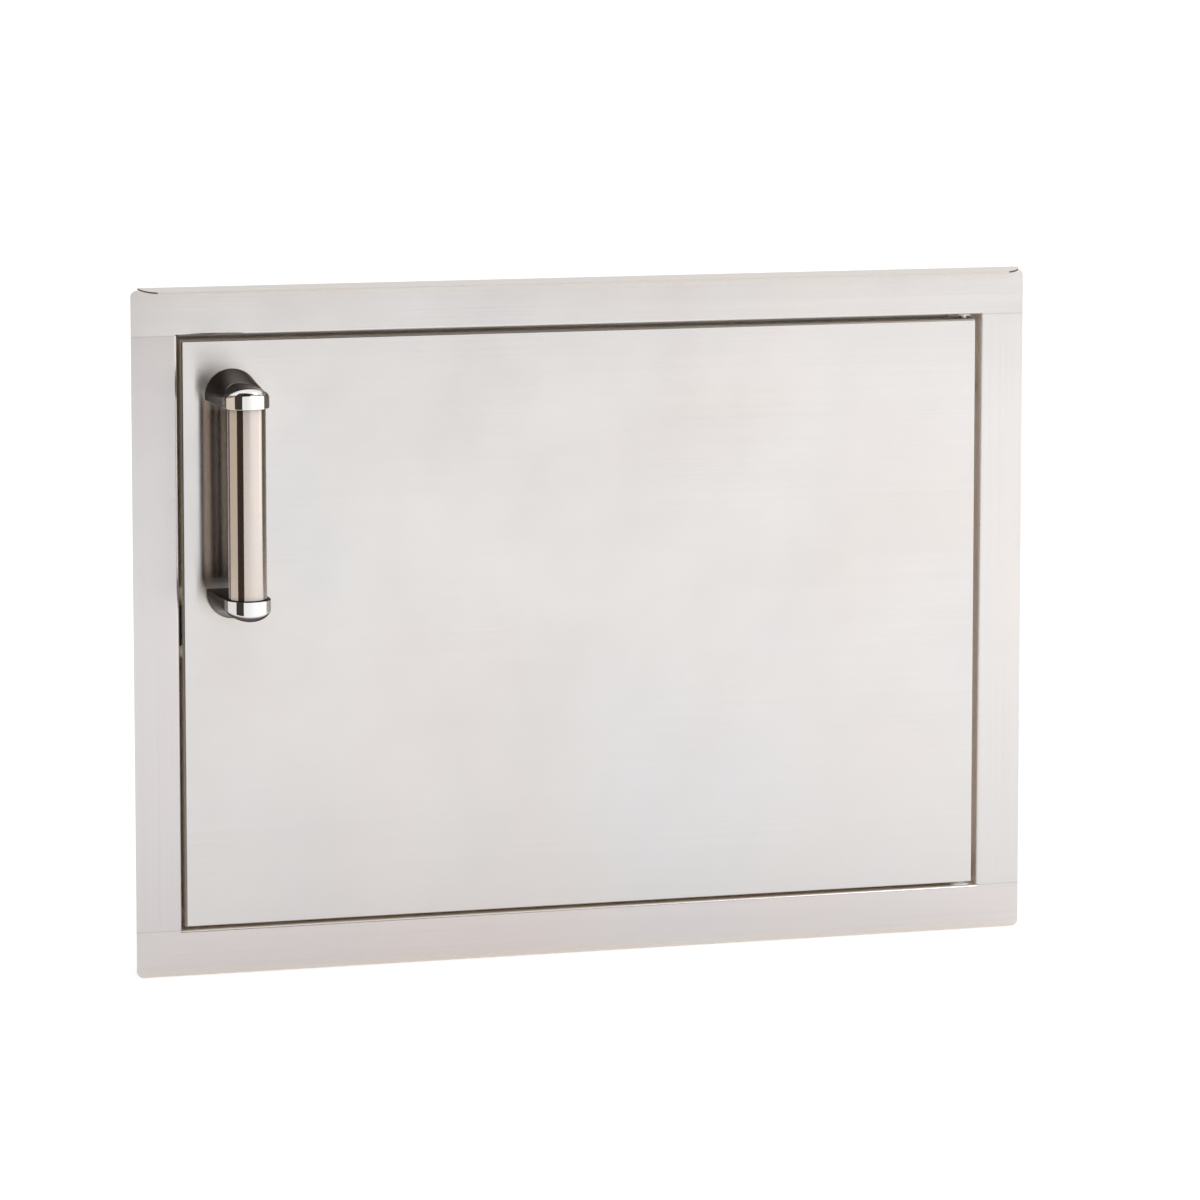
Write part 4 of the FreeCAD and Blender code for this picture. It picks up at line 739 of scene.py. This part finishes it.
def curtain(name, shade, radius, edges, twice=False):
    # A hanging flag round the handle: each edge is its azimuth, then the elevations of its foot and its top
    for i, (start, end) in enumerate(zip(edges, edges[1:])):
        corners = []
        for azimuth, rise in ((start[0], start[1]), (end[0], end[1]), (end[0], end[2]), (start[0], start[2])):
            height = tube_mid.z + radius * math.tan(math.radians(rise))
            corners.append(round_handle(azimuth, radius, max(floor_z, height)))
        gloss_card(f"{name}_{i}", shade, corners, twice)


def area_lamp(name, place, aim, size, power):
    lamp = bpy.data.lights.new(name, "AREA")
    lamp.shape = "RECTANGLE"
    lamp.size, lamp.size_y = size
    lamp.energy = power
    obj = bpy.data.objects.new(name, lamp)
    obj.location = place
    obj.rotation_euler = (Vector(aim) - Vector(place)).to_track_quat("-Z", "Y").to_euler()
    scene.collection.objects.link(obj)


floor_z = cad_box[0].z - FLOOR_BELOW
studio_floor(floor_z)
studio_sky()

# FLOOR is an elevation that reaches the floor, and LOW is where white gives way to the flags above it
BROWN_BLACK = (0.03, 0.024, 0.02)
FAR = 4.4
FLOOR, LOW = -90, 3
curtain("left_wedge_flag", (0.055, 0.042, 0.034), 1.0, [(-72, FLOOR, 50), (-32, FLOOR, 50)])
curtain("front_flag", BROWN_BLACK, FAR, [(-33, FLOOR, 50), (-9, FLOOR, 44), (8, FLOOR, 36)])
curtain("door_side_flag", (0.1, 0.09, 0.08), FAR, [(8, LOW, 36), (22, LOW, 26)])
curtain("white_sweep", (1.22, 1.22, 1.22), FAR, [(8, FLOOR, LOW), (28, FLOOR, LOW)])
curtain("right_sweep", (1.06, 1.06, 1.06), FAR, [(azimuth, FLOOR, LOW) for azimuth in (28, 46, 64, 92)])
curtain("twice_seen_flag", (0.18, 0.145, 0.11), 1.8, [(azimuth, FLOOR, 40) for azimuth in (40, 64, 88)],
        twice=True)
curtain("right_front_flag", (0.35, 0.33, 0.3), FAR, [(22, LOW, 26), (50, LOW, 15)])
curtain("right_flag_far", (0.12, 0.1, 0.09), FAR, [(50, LOW, 15), (95, LOW, 9)])
curtain("strip_card", (1.5, 1.5, 1.5), 2.4, [(64, FLOOR, LOW), (80, FLOOR, LOW)])
curtain("right_flag", (0.2, 0.18, 0.15), 2.0, [(88, FLOOR, 30), (135, FLOOR, 30)])
LEFT_CARDS = (-172, -140, -105, -70)
curtain("left_low_card", (0.72, 0.65, 0.56), 2.0, [(azimuth, FLOOR, 2) for azimuth in LEFT_CARDS])
curtain("left_tan_card", (0.3, 0.23, 0.17), 2.0, [(azimuth, 2, 25) for azimuth in LEFT_CARDS])

area_lamp("key_softbox", place=(2.2, -2.6, 2.6), aim=(0, 0, 0), size=(1.8, 1.8), power=25.0)


# Camera: a compromise, because the frame's corners and the handle in the photo ask for slightly different views


CAMERA_PLACE = (-0.97851, -3.6348, 0.60007)
CAMERA_YAW, CAMERA_DOWN = 0.26555, 0.10752
camera_data = bpy.data.cameras.new("photo_camera")
camera_data.sensor_width = 36.0
camera_data.lens = 152.67
camera_data.shift_y = -0.2
camera_data.clip_end = 100.0
camera = bpy.data.objects.new("photo_camera", camera_data)
camera.location = CAMERA_PLACE
level = math.cos(CAMERA_DOWN)
gaze = Vector((math.sin(CAMERA_YAW) * level, math.cos(CAMERA_YAW) * level, -math.sin(CAMERA_DOWN)))
camera.rotation_euler = gaze.to_track_quat("-Z", "Y").to_euler()
scene.collection.objects.link(camera)
scene.camera = camera
